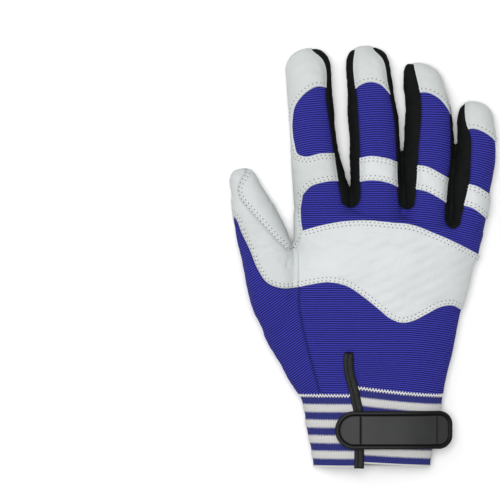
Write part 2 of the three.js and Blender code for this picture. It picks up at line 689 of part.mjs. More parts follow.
// The glove
const pieces = [
  ['palm_leather', withoutSewnIn(handPart.intersect(palmHalf.add(thumbFront(0)))), materials.leather],
  ['back_knit', withoutSewnIn(handPart.intersect(backHalf)).subtract(thumbFront(seamGap)).subtract(slitCut),
    materials.knit],
  ['thumb_gusset', handPart.intersect(panelBlock(gussetPanel)).subtract(panelBlock(thumbBackPanel, seamGap)),
    materials.knit],
  ['thumb_back', handPart.intersect(panelBlock(thumbBackPanel)), materials.leather],
  ['index_leather', overBack(indexOutline).subtract(block(onDigit('index', frameWindow), 0, highest)),
    materials.leather],
  ['knuckle_patch', overBack(patchOutline), materials.leather],
  ...['middle', 'ring', 'little'].flatMap((name) => [
    [`${name}_cap`, overBack(capOutline(name)), materials.leather],
    [`${name}_band`, overBack(bandOutline(name)), materials.leather],
  ]),
  ...stripPanels.map((panel) => [panel.name, handPart.intersect(panelBlock(panel)), materials.strip]),
  ['wrist_cuff', cuffPart.subtract(slitCut), materials.cuff],
  ['binding_left', tapeOver(-tapeWidth, -gloveGap), materials.tape],
  ['binding_right', tapeOver(gloveGap, tapeWidth), materials.tape],
  ['wrist_tab', wristTab(), materials.tab],
];

const glove = new THREE.Group();
for (const [name, solid, material] of pieces) glove.add(meshOf(name, solid, material));

// The origin is below the middle of the glove, on the surface that it lies on.
const extent = new THREE.Box3().setFromObject(glove);
const centre = extent.getCenter(new THREE.Vector3());
glove.position.set(-centre.x, -centre.y, -extent.min.z);

export default glove;
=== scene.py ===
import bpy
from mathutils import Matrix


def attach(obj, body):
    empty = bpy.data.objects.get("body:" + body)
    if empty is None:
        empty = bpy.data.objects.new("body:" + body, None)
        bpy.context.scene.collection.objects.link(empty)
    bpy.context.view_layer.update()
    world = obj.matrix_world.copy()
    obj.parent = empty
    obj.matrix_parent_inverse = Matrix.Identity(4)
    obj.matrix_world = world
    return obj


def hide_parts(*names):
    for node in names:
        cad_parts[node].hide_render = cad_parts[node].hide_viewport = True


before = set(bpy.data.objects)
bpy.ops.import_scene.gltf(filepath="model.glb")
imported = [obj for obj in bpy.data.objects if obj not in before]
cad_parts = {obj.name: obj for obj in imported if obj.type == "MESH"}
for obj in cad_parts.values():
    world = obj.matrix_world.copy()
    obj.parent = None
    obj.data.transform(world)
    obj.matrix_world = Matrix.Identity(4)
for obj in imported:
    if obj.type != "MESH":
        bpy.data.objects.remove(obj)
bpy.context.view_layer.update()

import math

import bpy
import numpy as np
from mathutils import Vector
from mathutils.bvhtree import BVHTree
from mathutils.kdtree import KDTree

# The pale table that the glove lies on, and the soft daylight of a studio tent. The camera hangs straight
# above, a little to the thumb's side, and looks down.
VIEW_CENTRE = (-0.068, 0.0035)
VIEW_WIDTH = 0.3
CAMERA_HEIGHT = 2.4
SENSOR_WIDTH = 36
GLOVE_MIDDLE = 0.014
TABLE_SIZE = 3.0
TENT_GLOW = 0.35


def linked(name, data):
    """A new object of this data, in the scene."""
    made = bpy.data.objects.new(name, data)
    bpy.context.scene.collection.objects.link(made)
    return made


camera = linked("Camera", bpy.data.cameras.new("Camera"))
camera.location = (*VIEW_CENTRE, CAMERA_HEIGHT)
camera.data.sensor_width = SENSOR_WIDTH
camera.data.lens = SENSOR_WIDTH * (CAMERA_HEIGHT - GLOVE_MIDDLE) / VIEW_WIDTH
camera.data.clip_start = 0.1
camera.data.clip_end = 20
bpy.context.scene.camera = camera


def sheet_of(name, points, faces):
    """A new object of these points, in metres, and faces."""
    mesh = bpy.data.meshes.new(name)
    mesh.from_pydata([tuple(p) for p in points], [], [tuple(f) for f in faces])
    mesh.update()
    return linked(name, mesh)


def feed(tree, socket, value):
    """Links a socket to the one that feeds it, or sets it to a number or colour."""
    if isinstance(value, bpy.types.NodeSocket):
        tree.links.new(value, socket)
    else:
        socket.default_value = value


def add(tree, kind, inputs=(), **settings):
    """A new node. An input's value is a number or colour, or the socket that feeds it."""
    made = tree.nodes.new(kind)
    for key, value in settings.items():
        setattr(made, key, value)
    for key, value in dict(inputs).items():
        feed(tree, made.inputs[key], value)
    return made


def finish_named(name):
    """A new material, its node tree, its shader and the socket of the object's own coordinates."""
    material = bpy.data.materials.new(name)
    material.use_nodes = True
    tree = material.node_tree
    return material, tree, tree.nodes["Principled BSDF"], add(tree, "ShaderNodeTexCoord").outputs["Object"]


def noise(tree, spot, scale, detail=2.0, **more):
    sizes = {"Vector": spot, "Scale": scale, "Detail": detail, **more}
    return add(tree, "ShaderNodeTexNoise", sizes).outputs["Fac"]


def bumped(tree, height, distance, strength, **below):
    """Relief from a height. below is the Normal of the coarser relief that it lies on."""
    sizes = {"Height": height, "Distance": distance, "Strength": strength, **below}
    return add(tree, "ShaderNodeBump", sizes).outputs["Normal"]


def dress(tree, shader, color, roughness, specular=0.5, normal=None):
    feed(tree, shader.inputs["Base Color"], color)
    feed(tree, shader.inputs["Roughness"], roughness)
    feed(tree, shader.inputs["Specular IOR Level"], specular)
    if normal is not None:
        feed(tree, shader.inputs["Normal"], normal)


half = TABLE_SIZE / 2
corners = [(-half, -half, 0), (half, -half, 0), (half, half, 0), (-half, half, 0)]
table = sheet_of("table", corners, [(0, 1, 2, 3)])
paper, tree, shader, spot = finish_named("white_paper")
fleck = bumped(tree, noise(tree, spot, 900.0, 3.0), 0.0001, 0.2)
dress(tree, shader, (0.93, 0.93, 0.93, 1), 0.9, normal=fleck)
table.data.materials.append(paper)


def lamp(name, place, size, power):
    """A square soft light that faces the glove."""
    data = bpy.data.lights.new(name, "AREA")
    data.shape = "SQUARE"
    data.size = size
    data.energy = power
    made = linked(name, data)
    made.location = place
    made.rotation_euler = (-Vector(place)).to_track_quat("-Z", "Y").to_euler()


lamp("tent_light", (-0.12, 0.1, 1.95), 1.0, 31)
lamp("window_light", (-0.9, 0.7, 1.1), 0.9, 5)
sky = bpy.data.worlds.new("tent")
sky.use_nodes = True
sky.node_tree.nodes["Background"].inputs["Color"].default_value = (1, 1, 1, 1)
sky.node_tree.nodes["Background"].inputs["Strength"].default_value = TENT_GLOW
bpy.context.scene.world = sky
bpy.context.scene.view_settings.view_transform = "Standard"

# The whole glove, turned and pressed to its lying shape: a flat tube for the cuff and hand, and one for
# each digit. The sewn panels below are all cut from this one form. Sizes are in mm from the hem.
PALM_WIDTH = 116.0
PALM_LENGTH = 112.0
HAND_THICKNESS = 26.0
WRIST_WIDTH = 86.0
WRIST_THICKNESS = 23.0
WRIST_X = -0.099
CUFF_LENGTH = 42.0
HEM_WIDTH = 69.0
HEM_THICKNESS = 20.0
HEM_LIFT = 0.8
BELOW_HEM = 5.0
# Two rows of the cuff, counted from the hand's end: where they are, how far towards the hem's size, and how
# much wider than it on the left and on the right
CUFF_ROWS = np.array([(1.0, 1.0, 0.8, 1.3), (0.39, 0.47, 0.4, 0.7)])
SEAM_HEIGHT = 10.0
DIGIT_THICKNESS = 20.0
SQUARENESS = 2.4
FORM_SIDES = 64
FORM_STEP = 1.5
VOXEL = 0.0009
ORIGIN = np.array([-16.575, 126.932, 0.0])
# Length, width, root as shares of the palm, lean in degrees, how far the tip leaves the middle line, and how
# slender the tip is: 1 is round, less is blunt
DIGITS = {
    "index": (91.2, 28.2, -0.362, 1.057, -5.8, 0.12, 0.8),
    "middle": (95.2, 28.8, -0.072, 1.031, -4.5, -0.1, 0.62),
    "ring": (89.5, 27.6, 0.186, 0.993, -1.1, -0.5, 0.72),
    "little": (72.2, 23.4, 0.388, 0.94, 4.7, -0.2, 0.72),
    "thumb": (82.9, 33.0, -0.559, 0.522, -17.3, 0.0, 0.66),
}
# Along as a share of the length, then the left and right side as shares of the half width
SIDES = {
    "index": [(-0.3, -0.95, 1.0), (0, -1.1, 1.34), (0.12, -1.08, 1.15), (0.3, -1.04, 0.97),
              (0.5, -0.98, 0.9), (0.7, -0.94, 0.97), (0.86, -0.93, 1.0)],
    "middle": [(-0.3, -0.95, 0.95), (0, -1.1, 1.12), (0.15, -1.0, 1.15), (0.34, -0.95, 1.14),
               (0.5, -0.91, 1.16), (0.68, -0.86, 1.08), (0.86, -0.84, 0.98)],
    "ring": [(-0.3, -0.95, 0.9), (0, -1.04, 1.04), (0.18, -1.03, 1.1), (0.35, -1.0, 1.2),
             (0.55, -0.88, 1.23), (0.7, -0.82, 1.14), (0.84, -0.9, 0.82)],
    "little": [(-0.3, -0.9, 0.78), (0, -0.85, 0.98), (0.2, -0.92, 1.1), (0.4, -0.9, 1.21),
               (0.56, -0.78, 1.26), (0.7, -0.77, 1.17), (0.84, -0.88, 0.97)],
    "thumb": [(-0.35, -0.8, 0.6), (0, -1.13, 0.8), (0.16, -1.12, 0.86), (0.38, -0.97, 0.93),
              (0.55, -0.92, 0.82), (0.72, -0.8, 0.64), (0.86, -0.6, 0.44)],
}
# Along, and the digit's underside and top as shares of its thickness
RISE = np.array([(-0.35, 0.3, 0.8), (-0.15, 0.12, 1.08), (0, 0.1, 1.18), (0.35, 0.16, 1.12),
                 (0.7, 0.12, 1.0), (0.9, 0.05, 0.88), (1, 0.03, 0.84)])
# Hand rows: along, left, right, share of the wrist's width, slant, fullness, underside, share of the top
HAND = np.array([
    (0, -0.5, 0.5, 1, 0, 0, -0.05, 1), (0.12, -0.564, 0.392, 0.5, 0, 0.25, -0.06, 1),
    (0.24, -0.61, 0.321, 0, 0, 0.5, -0.07, 1), (0.372, -0.663, 0.346, 0, 0, 0.7, -0.07, 1),
    (0.468, -0.676, 0.367, 0, 0, 0.8, -0.07, 1), (0.575, -0.634, 0.393, 0, 0, 0.9, -0.07, 1),
    (0.682, -0.558, 0.42, 0, 0, 1, -0.07, 1), (0.779, -0.506, 0.443, 0, -0.02, 1, -0.07, 1),
    (0.88, -0.5, 0.475, 0, -0.08, 1, -0.06, 1), (0.96, -0.49, 0.47, 0, -0.13, 1, 0.02, 0.9),
    (1, -0.46, 0.42, 0, -0.14, 1, 0.14, 0.5)])


def hand_point(x, y):
    return np.array([x * PALM_WIDTH, CUFF_LENGTH + y * PALM_LENGTH])


def digit_point(name, along, across):
    length, width, root_x, root_y, lean, *_ = DIGITS[name]
    turn = math.radians(lean)
    forward = np.array([math.sin(turn), math.cos(turn)])
    aside = np.array([forward[1], -forward[0]])
    return hand_point(root_x, root_y) + along * length * forward + across * width / 2 * aside


def eased(at, values, x):
    """A smooth curve through values at their places."""
    at = np.asarray(at, float)
    values = np.asarray(values, float)
    slopes = np.gradient(values, at)
    i = np.clip(np.searchsorted(at, x) - 1, 0, len(at) - 2)
    wide = at[i + 1] - at[i]
    t = np.clip((x - at[i]) / wide, 0, 1)
    start = (1 + 2 * t) * (1 - t) ** 2 * values[i] + t * (1 - t) ** 2 * wide * slopes[i]
    return start + t ** 2 * (3 - 2 * t) * values[i + 1] + t ** 2 * (t - 1) * wide * slopes[i + 1]


def smoothstep(share):
    return share ** 2 * (3 - 2 * share)


def squared_off(values, power):
    """Values from -1 to 1 bent by a power, with their signs kept."""
    return np.sign(values) * np.abs(values) ** power


turns = np.arange(FORM_SIDES) / FORM_SIDES * 2 * math.pi
ring_across = squared_off(np.cos(turns), 2 / SQUARENESS)
ring_up = squared_off(np.sin(turns), 2 / SQUARENESS)


def heights(under, over, size):
    """Heights round one section: it is widest at the seams, and size shrinks it towards them."""
    return SEAM_HEIGHT + ring_up * np.where(ring_up > 0, over - SEAM_HEIGHT, SEAM_HEIGHT - under) * size


def hand_rings():
    at, share, wider_left, wider_right = CUFF_ROWS.T
    half = (WRIST_WIDTH + (HEM_WIDTH - WRIST_WIDTH) * share) / 2
    along, left, right, wrist, slant, full, under, over = HAND.T
    width = PALM_WIDTH + (WRIST_WIDTH - PALM_WIDTH) * wrist
    middle = WRIST_X * PALM_WIDTH
    top = WRIST_THICKNESS + (HAND_THICKNESS - WRIST_THICKNESS) * full
    hem_top = HEM_LIFT + HEM_THICKNESS
    cuff_left, cuff_right = middle - half - wider_left, middle + half + wider_right
    y = np.concatenate([[-BELOW_HEM], CUFF_LENGTH * (1 - at), CUFF_LENGTH + along * PALM_LENGTH])
    columns = [
        np.concatenate([cuff_left[:1], cuff_left, middle * wrist + left * width]),
        np.concatenate([cuff_right[:1], cuff_right, middle * wrist + right * width]),
        np.concatenate([[HEM_LIFT], HEM_LIFT * share - (1 - share), under * HAND_THICKNESS]),
        np.concatenate([[hem_top], WRIST_THICKNESS + (hem_top - WRIST_THICKNESS) * share, top * over]),
        np.concatenate([[0, 0, 0], slant * PALM_LENGTH / PALM_WIDTH]),
    ]
    stations = np.append(np.arange(y[0], y[-1], FORM_STEP), y[-1])
    for station in stations:
        left, right, under, over, slant = (eased(y, column, station) for column in columns)
        x = (left + right) / 2 + ring_across * (right - left) / 2
        yield np.stack([x, station + slant * x, heights(under, over, 1)], axis=1)


def digit_rings(name):
    length, *_, tip_shift, slender = DIGITS[name]
    along, left, right = np.array(SIDES[name], float).T
    last = along[-1]
    stations = [(a, 1.0, 0.0) for a in np.arange(along[0], last, FORM_STEP / length)]
    for turn in np.linspace(0, math.pi / 2 * 0.97, 14):
        blunt = math.cos(turn)
        stations.append((last + (1 - last) * math.sin(turn), blunt ** slender, tip_shift * (1 - blunt)))
    for a, size, shift in stations:
        low, high = (eased(along, side, min(a, last)) for side in (left, right))
        under, over = (eased(RISE[:, 0], RISE[:, k], a) * DIGIT_THICKNESS for k in (1, 2))
        across = (low + high) / 2 + shift + ring_across * (high - low) / 2 * size
        flat = digit_point(name, a, 0) + np.outer(across, digit_point(name, 0, 1) - digit_point(name, 0, 0))
        yield np.column_stack([flat, heights(under, over, size)])


def loft(rings):
    rings = np.array(list(rings))
    count, sides = rings.shape[:2]
    points = np.concatenate([rings.reshape(-1, 3), [rings[0].mean(0)], [rings[-1].mean(0)]])
    faces = []
    for r in range(count - 1):
        for s in range(sides):
            a, b = r * sides + s, r * sides + (s + 1) % sides
            faces.append((a, a + sides, b + sides, b))
    for s in range(sides):
        faces.append((count * sides, s, (s + 1) % sides))
        faces.append((count * sides + 1, (count - 1) * sides + (s + 1) % sides, (count - 1) * sides + s))
    return points, faces


def metres(points):
    """From mm, measured from the hem, to the frame's metres."""
    return (np.asarray(points) - ORIGIN) / 1000


all_points, all_faces, start = [], [], 0
for rings in [hand_rings()] + [digit_rings(name) for name in DIGITS]:
    points, faces = loft(rings)
    all_points.append(points)
    all_faces += [tuple(i + start for i in face) for face in faces]
    start += len(points)
form = sheet_of("form", metres(np.concatenate(all_points)), all_faces)
remesh = form.modifiers.new("remesh", "REMESH")
remesh.mode = "VOXEL"
remesh.voxel_size = VOXEL
plain = bpy.data.meshes.new_from_object(form.evaluated_get(bpy.context.evaluated_depsgraph_get()))
bpy.data.objects.remove(form)


def numbers(collection, key, width, kind=float):
    found = np.zeros(len(collection) * width, kind)
    collection.foreach_get(key, found)
    return found.reshape(-1, width)


plain.calc_loop_triangles()
place = numbers(plain.vertices, "co", 3) * 1000 + ORIGIN
triangles = numbers(plain.loop_triangles, "vertices", 3, np.int32)
edges = numbers(plain.edges, "vertices", 2, np.int32)
bpy.data.meshes.remove(plain)


def softened(values, edges, rounds, back=0.0):
    """Each point's values drawn towards their neighbours' mean, and back out by a share of it."""
    share = np.bincount(edges.ravel(), minlength=len(values))[:, None]
    for step in range(rounds):
        for pull in (0.5, -back)[: 2 if back else 1]:
            total = np.zeros_like(values)
            np.add.at(total, edges[:, 0], values[edges[:, 1]])
            np.add.at(total, edges[:, 1], values[edges[:, 0]])
            values = values + pull * (total / share - values)
    return values


def normals_of(points, triangles):
    a, b, c = (points[triangles[:, k]] for k in range(3))
    flat = np.cross(b - a, c - a)
    total = np.zeros_like(points)
    for k in range(3):
        np.add.at(total, triangles[:, k], flat)
    return total / np.maximum(np.linalg.norm(total, axis=1, keepdims=True), 1e-12)


def ripple(points, length, seed, waves=14):
    """Smooth uneven relief about 1 high, with features about this long."""
    random = np.random.default_rng(seed)
    total = np.zeros(len(points))
    for _ in range(waves):
        way = random.normal(size=3)
        way *= 2 * math.pi / length * random.uniform(0.6, 1.3) / np.linalg.norm(way)
        total += np.sin(points @ way + random.uniform(0, 2 * math.pi))
    return total / math.sqrt(waves)


place = softened(place, edges, 10, 0.35)
place = place + normals_of(place, triangles) * (0.18 * ripple(place, 26, 3))[:, None]
outward = softened(normals_of(place, triangles), edges, 3)
outward /= np.linalg.norm(outward, axis=1, keepdims=True)

# The pattern: every seam line of the glove, as the cutter's pattern has it, on the back and on the palm
# side. Each point of the form knows how far it lies inside each panel.
STRIP_EDGES = {
    "back": {
        "index_right": [(1.08, 0.02), (0.985, 0.28), (0.93, 0.62), (0.64, 0.67), (0.38, 0.76), (0.2, 0.78),
                        (0, 0.87)],
        "middle_left": [(1.08, -0.34), (0.98, -0.42), (0.93, -0.5), (0.66, -0.51), (0.39, -0.56),
                        (0.09, -0.68)],
        "middle_right": [(1.08, 0.2), (0.98, 0.36), (0.92, 0.68), (0.75, 0.85), (0.62, 0.98), (0.44, 1.04),
                         (0.3, 1.0), (0.17, 0.93), (0.04, 0.93)],
        "ring_left": [(1.08, -0.4), (0.98, -0.44), (0.93, -0.38), (0.78, -0.2), (0.66, -0.19), (0.45, -0.33),
                      (0.16, -0.48), (0.06, -0.57)],
        "ring_right": [(1.08, 0.5), (0.93, 0.75), (0.84, 0.92), (0.74, 1.08), (0.62, 1.12), (0.45, 1.13),
                       (0.29, 1.06), (0.18, 0.92), (0, 0.8)],
        "little_left": [(1.08, -0.46), (0.93, -0.54), (0.84, -0.46), (0.71, -0.16), (0.51, -0.06),
                        (0.35, -0.03), (0.18, -0.17), (0.02, -0.33)],
    },
    "palm": {
        "index_right": [(1.08, 0.2), (0.97, 0.5), (0.9, 0.84), (0.5, 0.82), (0.3, 0.9), (0.1, 1.0)],
        "middle_left": [(1.08, -0.4), (0.95, -0.52), (0.66, -0.56), (0.4, -0.62), (0.1, -0.74)],
        "middle_right": [(1.08, 0.3), (0.97, 0.5), (0.9, 0.84), (0.66, 0.96), (0.45, 1.06), (0.2, 1.06),
                         (0.06, 1.0)],
        "ring_left": [(1.08, -0.5), (0.95, -0.76), (0.68, -0.72), (0.45, -0.88), (0.2, -0.96), (0.1, -0.92)],
        "ring_right": [(1.08, 0), (0.93, 0.25), (0.8, 0.6), (0.66, 0.78), (0.45, 0.84), (0.2, 0.88),
                       (0.02, 0.8)],
        "little_left": [(1.08, -0.5), (0.93, -0.7), (0.78, -0.6), (0.5, -0.62), (0.2, -0.74), (0.04, -0.7)],
    },
}
WEBS = {"back": (1.02, 1.009, 0.907), "palm": (1.06, 1.053, 0.985)}
STRIPS = [("fourchette_index_middle", "index", "middle"), ("fourchette_middle_ring", "middle", "ring"),
          ("fourchette_ring_little", "ring", "little")]
THUMB_SEAM = {
    "back": [(1.08, 0.2), (0.96, 0.08), (0.928, -0.12), (0.86, -0.37), (0.8, -0.39), (0.69, -0.18),
             (0.56, 0.12), (0.44, 0.41), (0.335, 0.7)],
    "palm": [(1.08, -0.1), (0.95, -0.24), (0.8, -0.38), (0.66, -0.34), (0.54, -0.29)],
}
THUMB_LOWER = {
    "back": [(0.721, -0.941), (0.661, -0.777), (0.561, -0.735), (0.419, -0.625), (0.274, -0.558),
             (0.151, -0.353), (0.081, 0.134), (0.057, 0.694)],
    "palm": [(0.724, -1.23), (0.596, -0.989), (0.507, -0.687), (0.46, -0.26)],
}
GUSSET_SEAM = {
    "back": [(-0.477, 0.491), (-0.463, 0.405), (-0.436, 0.281), (-0.399, 0.137), (-0.355, -0.03)],
    "palm": [(-0.66, 0.69), (-0.626, 0.6), (-0.547, 0.457), (-0.448, 0.314), (-0.339, 0.17), (-0.24, -0.03)],
}
CROTCH = (-0.501, 0.806)
CROTCH_PATH = [CROTCH, (-0.514, 0.83), (-0.524, 0.885), (-0.55, 1), (-0.6, 1.5)]
LINE_STEP = 2.0


def on_hand(rows):
    return np.array([hand_point(*row) for row in rows])


def on_digit(name, rows):
    return np.array([digit_point(name, *row) for row in rows])


def smooth(line, step=LINE_STEP):
    """A smooth line through the points, with a point about every step."""
    line = np.asarray(line, float)
    way = np.append(0, np.cumsum(np.linalg.norm(np.diff(line, axis=0), axis=1)))
    at = np.linspace(0, way[-1], max(2, round(way[-1] / step) + 1))
    return np.stack([eased(way, line[:, k], at) for k in range(line.shape[1])], axis=1)


def joined(*lines):
    return np.concatenate([np.atleast_2d(line) for line in lines])


def inside(outline, points):
    """How far each point lies inside a closed outline; outside it is below 0."""
    nearest = np.full(len(points), np.inf)
    within = np.zeros(len(points), bool)
    x, y = points[:, 0], points[:, 1]
    for (x0, y0), (x1, y1) in zip(outline, np.roll(outline, -1, axis=0)):
        dx, dy = x1 - x0, y1 - y0
        share = np.clip(((x - x0) * dx + (y - y0) * dy) / max(dx * dx + dy * dy, 1e-9), 0, 1)
        nearest = np.minimum(nearest, (x - x0 - share * dx) ** 2 + (y - y0 - share * dy) ** 2)
        if dy:
            within ^= ((y0 > y) != (y1 > y)) & (x < x0 + (y - y0) / dy * dx)
    return np.sqrt(nearest) * np.where(within, 1, -1)


def strip_outline(i, side):
    _, near, far = STRIPS[i]
    up = smooth(on_digit(near, STRIP_EDGES[side][near + "_right"]))[::-1]
    down = smooth(on_digit(far, STRIP_EDGES[side][far + "_left"]))
    turn = np.linspace(math.pi, 0, 13)[1:-1, None]
    between = up[0] + (down[-1] - up[0]) * (1 - np.cos(turn)) / 2
    between[:, 1:] += (hand_point(0, WEBS[side][i])[1] - between[:, 1:]) * np.sin(turn) ** 0.7
    return joined(between, up, down)


def thumb_outline(side):
    lower = smooth(on_digit("thumb", THUMB_LOWER[side]))
    seam = smooth(on_digit("thumb", THUMB_SEAM[side]))
    inner = [hand_point(*CROTCH), [lower[-1][0], hand_point(*CROTCH)[1]]] if side == "back" else [lower[-1]]
    return joined(seam, inner, lower[::-1], on_hand([(-1, 0.99), (-1, 1.5)]))


def gusset_outline(side):
    lower = on_digit("thumb", THUMB_LOWER[side])
    seam = joined(lower[-1:], on_hand(GUSSET_SEAM[side]))
    return joined(on_hand([(-1, 0.99)]), smooth(lower), smooth(seam)[1:], on_hand([(-1, -0.03)]))


flat = place[:, :2]
# 0 on the palm side, 1 on the back, and in between at the side seams
upper = smoothstep(np.clip((place[:, 2] - SEAM_HEIGHT) / 5 + 0.5, 0, 1))


def panel_depth(outline_of):
    return upper * inside(outline_of("back"), flat) + (1 - upper) * inside(outline_of("palm"), flat)


depth = {name: panel_depth(lambda side: strip_outline(i, side)) for i, (name, *_) in enumerate(STRIPS)}
depth["thumb_back"] = panel_depth(thumb_outline)
depth["thumb_gusset"] = np.minimum(panel_depth(gusset_outline), -depth["thumb_back"])
thumb_front = joined(smooth(on_digit("thumb", THUMB_SEAM["back"])), on_hand(CROTCH_PATH))
depth["thumb_front"] = inside(thumb_front, flat)
depth["back"] = place[:, 2] - SEAM_HEIGHT

# The cuff seam, where the knit cuff is sewn to the hand: level across, and right of the slit a little
# higher where the slit's edge pulled it up.
SLIT_LENGTH = 27.0
SLIT_WIDTH = 4.2
SLIT_X = -19.5
SEAM_PULL, SEAM_PULL_REACH = 4.6, 48
HEM_PULL, HEM_PULL_REACH = 2.3, 44
SLIT_LINE = smooth(joined(
    [(x * PALM_WIDTH, CUFF_LENGTH + SLIT_LENGTH * share) for share, x in
     ((1, -0.219), (0.79, -0.221), (0.56, -0.216), (0.25, -0.198))],
    [(x * PALM_WIDTH, CUFF_LENGTH * (1 - share)) for share, x in
     ((0.05, -0.181), (0.2, -0.17), (0.45, -0.166), (1.15, -0.166))]), 1.0)


def on_top(points):
    """0 on the underside of the cuff, 1 on its upper side."""
    return np.clip((points[:, 2] - 8) / 6, 0, 1)


def cuff_seam(points):
    """Height above the hem, in y, of the cuff seam at these points."""
    beyond = np.clip((points[:, 0] - SLIT_X) / SEAM_PULL_REACH, 0, 1)
    pulled = np.where(points[:, 0] > SLIT_X - 1, SEAM_PULL * (1 - beyond) ** 1.4, 0)
    return CUFF_LENGTH + pulled * on_top(points)


def hem_line(points):
    beyond = np.clip(1 - (points[:, 0] - SLIT_X) / HEM_PULL_REACH, 0, 1)
    return 0.5 + np.where(points[:, 0] > SLIT_X, HEM_PULL * beyond, 0) * on_top(points)


depth["hand"] = place[:, 1] - cuff_seam(place)
depth["hem"] = place[:, 1] - hem_line(place)
slit_cut = joined(SLIT_LINE - (SLIT_WIDTH / 2, 0), (SLIT_LINE + (SLIT_WIDTH / 2, 0))[::-1])
depth["slit"] = np.minimum(inside(slit_cut, flat), place[:, 2] - SEAM_HEIGHT)

# No point of the glove lies lower than this
LEAST_HEIGHT = 0.05
DEPTHS = list(depth)
form_rows = np.column_stack([place, outward] + [depth[name] for name in DEPTHS])
SNAP = 0.3


def column(rows, name):
    return rows[:, 6 + DEPTHS.index(name)]


def sides_of(triangles):
    return np.concatenate([triangles[:, [0, 1]], triangles[:, [1, 2]], triangles[:, [2, 0]]])


def cut(rows, triangles, keep):
    """The part of a sheet where keep is above 0. Points close to the line slide onto it."""
    rows, keep = rows.copy(), keep.copy()
    pairs = sides_of(triangles)
    pairs = np.unique(np.sort(pairs, axis=1), axis=0)
    pairs = pairs[keep[pairs[:, 0]] * keep[pairs[:, 1]] < 0]
    share = keep[pairs[:, 0]] / (keep[pairs[:, 0]] - keep[pairs[:, 1]])
    near = np.concatenate([pairs[:, 0], pairs[:, 1]])
    far = np.concatenate([pairs[:, 1], pairs[:, 0]])
    share = np.concatenate([share, 1 - share])
    order = np.argsort(-share)
    order = order[share[order] < SNAP]
    moved = rows[near[order]] + (rows[far[order]] - rows[near[order]]) * share[order][:, None]
    rows[near[order]] = moved
    keep[near[order]] = 0
    signs = np.sign(keep)[triangles]
    whole = triangles[(signs.max(1) > 0) & (signs.min(1) >= 0)]
    split = triangles[(signs.max(1) > 0) & (signs.min(1) < 0)]
    extra, known, pieces = [], {}, []
    for corners in split:
        ring = []
        for i, j in zip(corners, np.roll(corners, -1)):
            if keep[i] >= 0:
                ring.append(i)
            if keep[i] * keep[j] < 0:
                key = (min(i, j), max(i, j))
                if key not in known:
                    known[key] = len(rows) + len(extra)
                    a, b = key
                    extra.append(rows[a] + (rows[b] - rows[a]) * keep[a] / (keep[a] - keep[b]))
                ring.append(known[key])
        pieces += [(ring[0], ring[k], ring[k + 1]) for k in range(1, len(ring) - 1)]
    rows = np.concatenate([rows, extra]) if extra else rows
    triangles = np.concatenate([whole, pieces]) if pieces else whole
    used, triangles = np.unique(triangles, return_inverse=True)
    return rows[used], triangles.reshape(-1, 3)


def finer(rows, triangles):
    """The same sheet with each triangle in four."""
    pairs, number = np.unique(np.sort(sides_of(triangles), axis=1), axis=0, return_inverse=True)
    a, b, c = triangles.T
    ab, bc, ca = len(rows) + number.reshape(3, -1)
    rows = np.concatenate([rows, (rows[pairs[:, 0]] + rows[pairs[:, 1]]) / 2])
    smaller = ((a, ab, ca), (ab, b, bc), (ca, bc, c), (ab, bc, ca))
    return rows, np.concatenate([np.stack(corners, axis=1) for corners in smaller])


def rim_of(triangles):
    """The directed edges that only one triangle has."""
    pairs = sides_of(triangles)
    size = triangles.max() + 1
    ahead = pairs[:, 0] * size + pairs[:, 1]
    back = pairs[:, 1] * size + pairs[:, 0]
    return pairs[~np.isin(ahead, back)]


def distance_to(points, targets):
    tree = KDTree(len(targets))
    for i, target in enumerate(targets):
        tree.insert(target, i)
    tree.balance()
    return np.array([tree.find(p)[2] for p in points])


def off_line(rows, line):
    """How far each point is from a flat line, seen from above."""
    return distance_to(rows[:, :3] * (1, 1, 0), np.column_stack([line, np.zeros(len(line))]))


def surface_of(points, triangles):
    return BVHTree.FromPolygons(points.tolist(), triangles.tolist())


def shell(name, outer, inner, triangles, **marks):
    """A closed piece with an outer and an inner face. Marks become attributes of its points."""
    count = len(outer)
    rim = rim_of(triangles)
    sides = np.stack([rim[:, 1], rim[:, 0], rim[:, 0] + count, rim[:, 1] + count], axis=1)
    faces = triangles.tolist() + (triangles[:, ::-1] + count).tolist() + sides.tolist()
    piece = sheet_of(name, metres(np.concatenate([outer, inner])), faces)
    piece.data.polygons.foreach_set("use_smooth", [True] * len(faces))
    piece.data.set_sharp_from_angle(angle=math.radians(62))
    for mark, values in marks.items():
        layer = piece.data.attributes.new(mark, "FLOAT", "POINT")
        layer.data.foreach_set("value", np.tile(np.asarray(values, np.float32), 2))
    return piece


hand_sheet = cut(form_rows, triangles, column(form_rows, "hand"))

# Palm leather: one hide piece for the palm and the finger fronts, whose thumb part is turned over the
# thumb's inner side and sewn to its back.
WHITE_LEATHER = (0.515, 0.54, 0.54)
PALM_STEP = 0.6
PALM_CORNER = (178.5, 464.4)
surfaces = {}
rows = hand_sheet[0]
palm_keep = np.maximum(-column(rows, "back"), column(rows, "thumb_front"))
DEPTHS.append("palm_side")
hand_sheet = (np.column_stack([rows, palm_keep]), hand_sheet[1])
not_sewn_in = [(name, -1) for name in [name for name, *_ in STRIPS] + ["thumb_back", "thumb_gusset"]]


def piece_finish(piece, material, slot, *nodes):
    piece.data.materials.append(material)
    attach(piece, "root")
    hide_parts(*nodes)


def sunk(rows, creases):
    """How far creases press these points in. Each is a line seen from above, its side, depth and width."""
    deepest = np.zeros(len(rows))
    for points, side, deep, wide in creases:
        line = smooth(points, 0.5)
        fade = np.minimum(off_line(rows, line[[0, -1]]) / (0.3 * np.linalg.norm(line[-1] - line[0])), 1)
        faces = np.clip(side * (rows[:, 2] - SEAM_HEIGHT) / 3 + 0.3, 0, 1)
        deepest = np.maximum(deepest, deep * np.exp(-(off_line(rows, line) / wide) ** 2) * fade * faces)
    return deepest


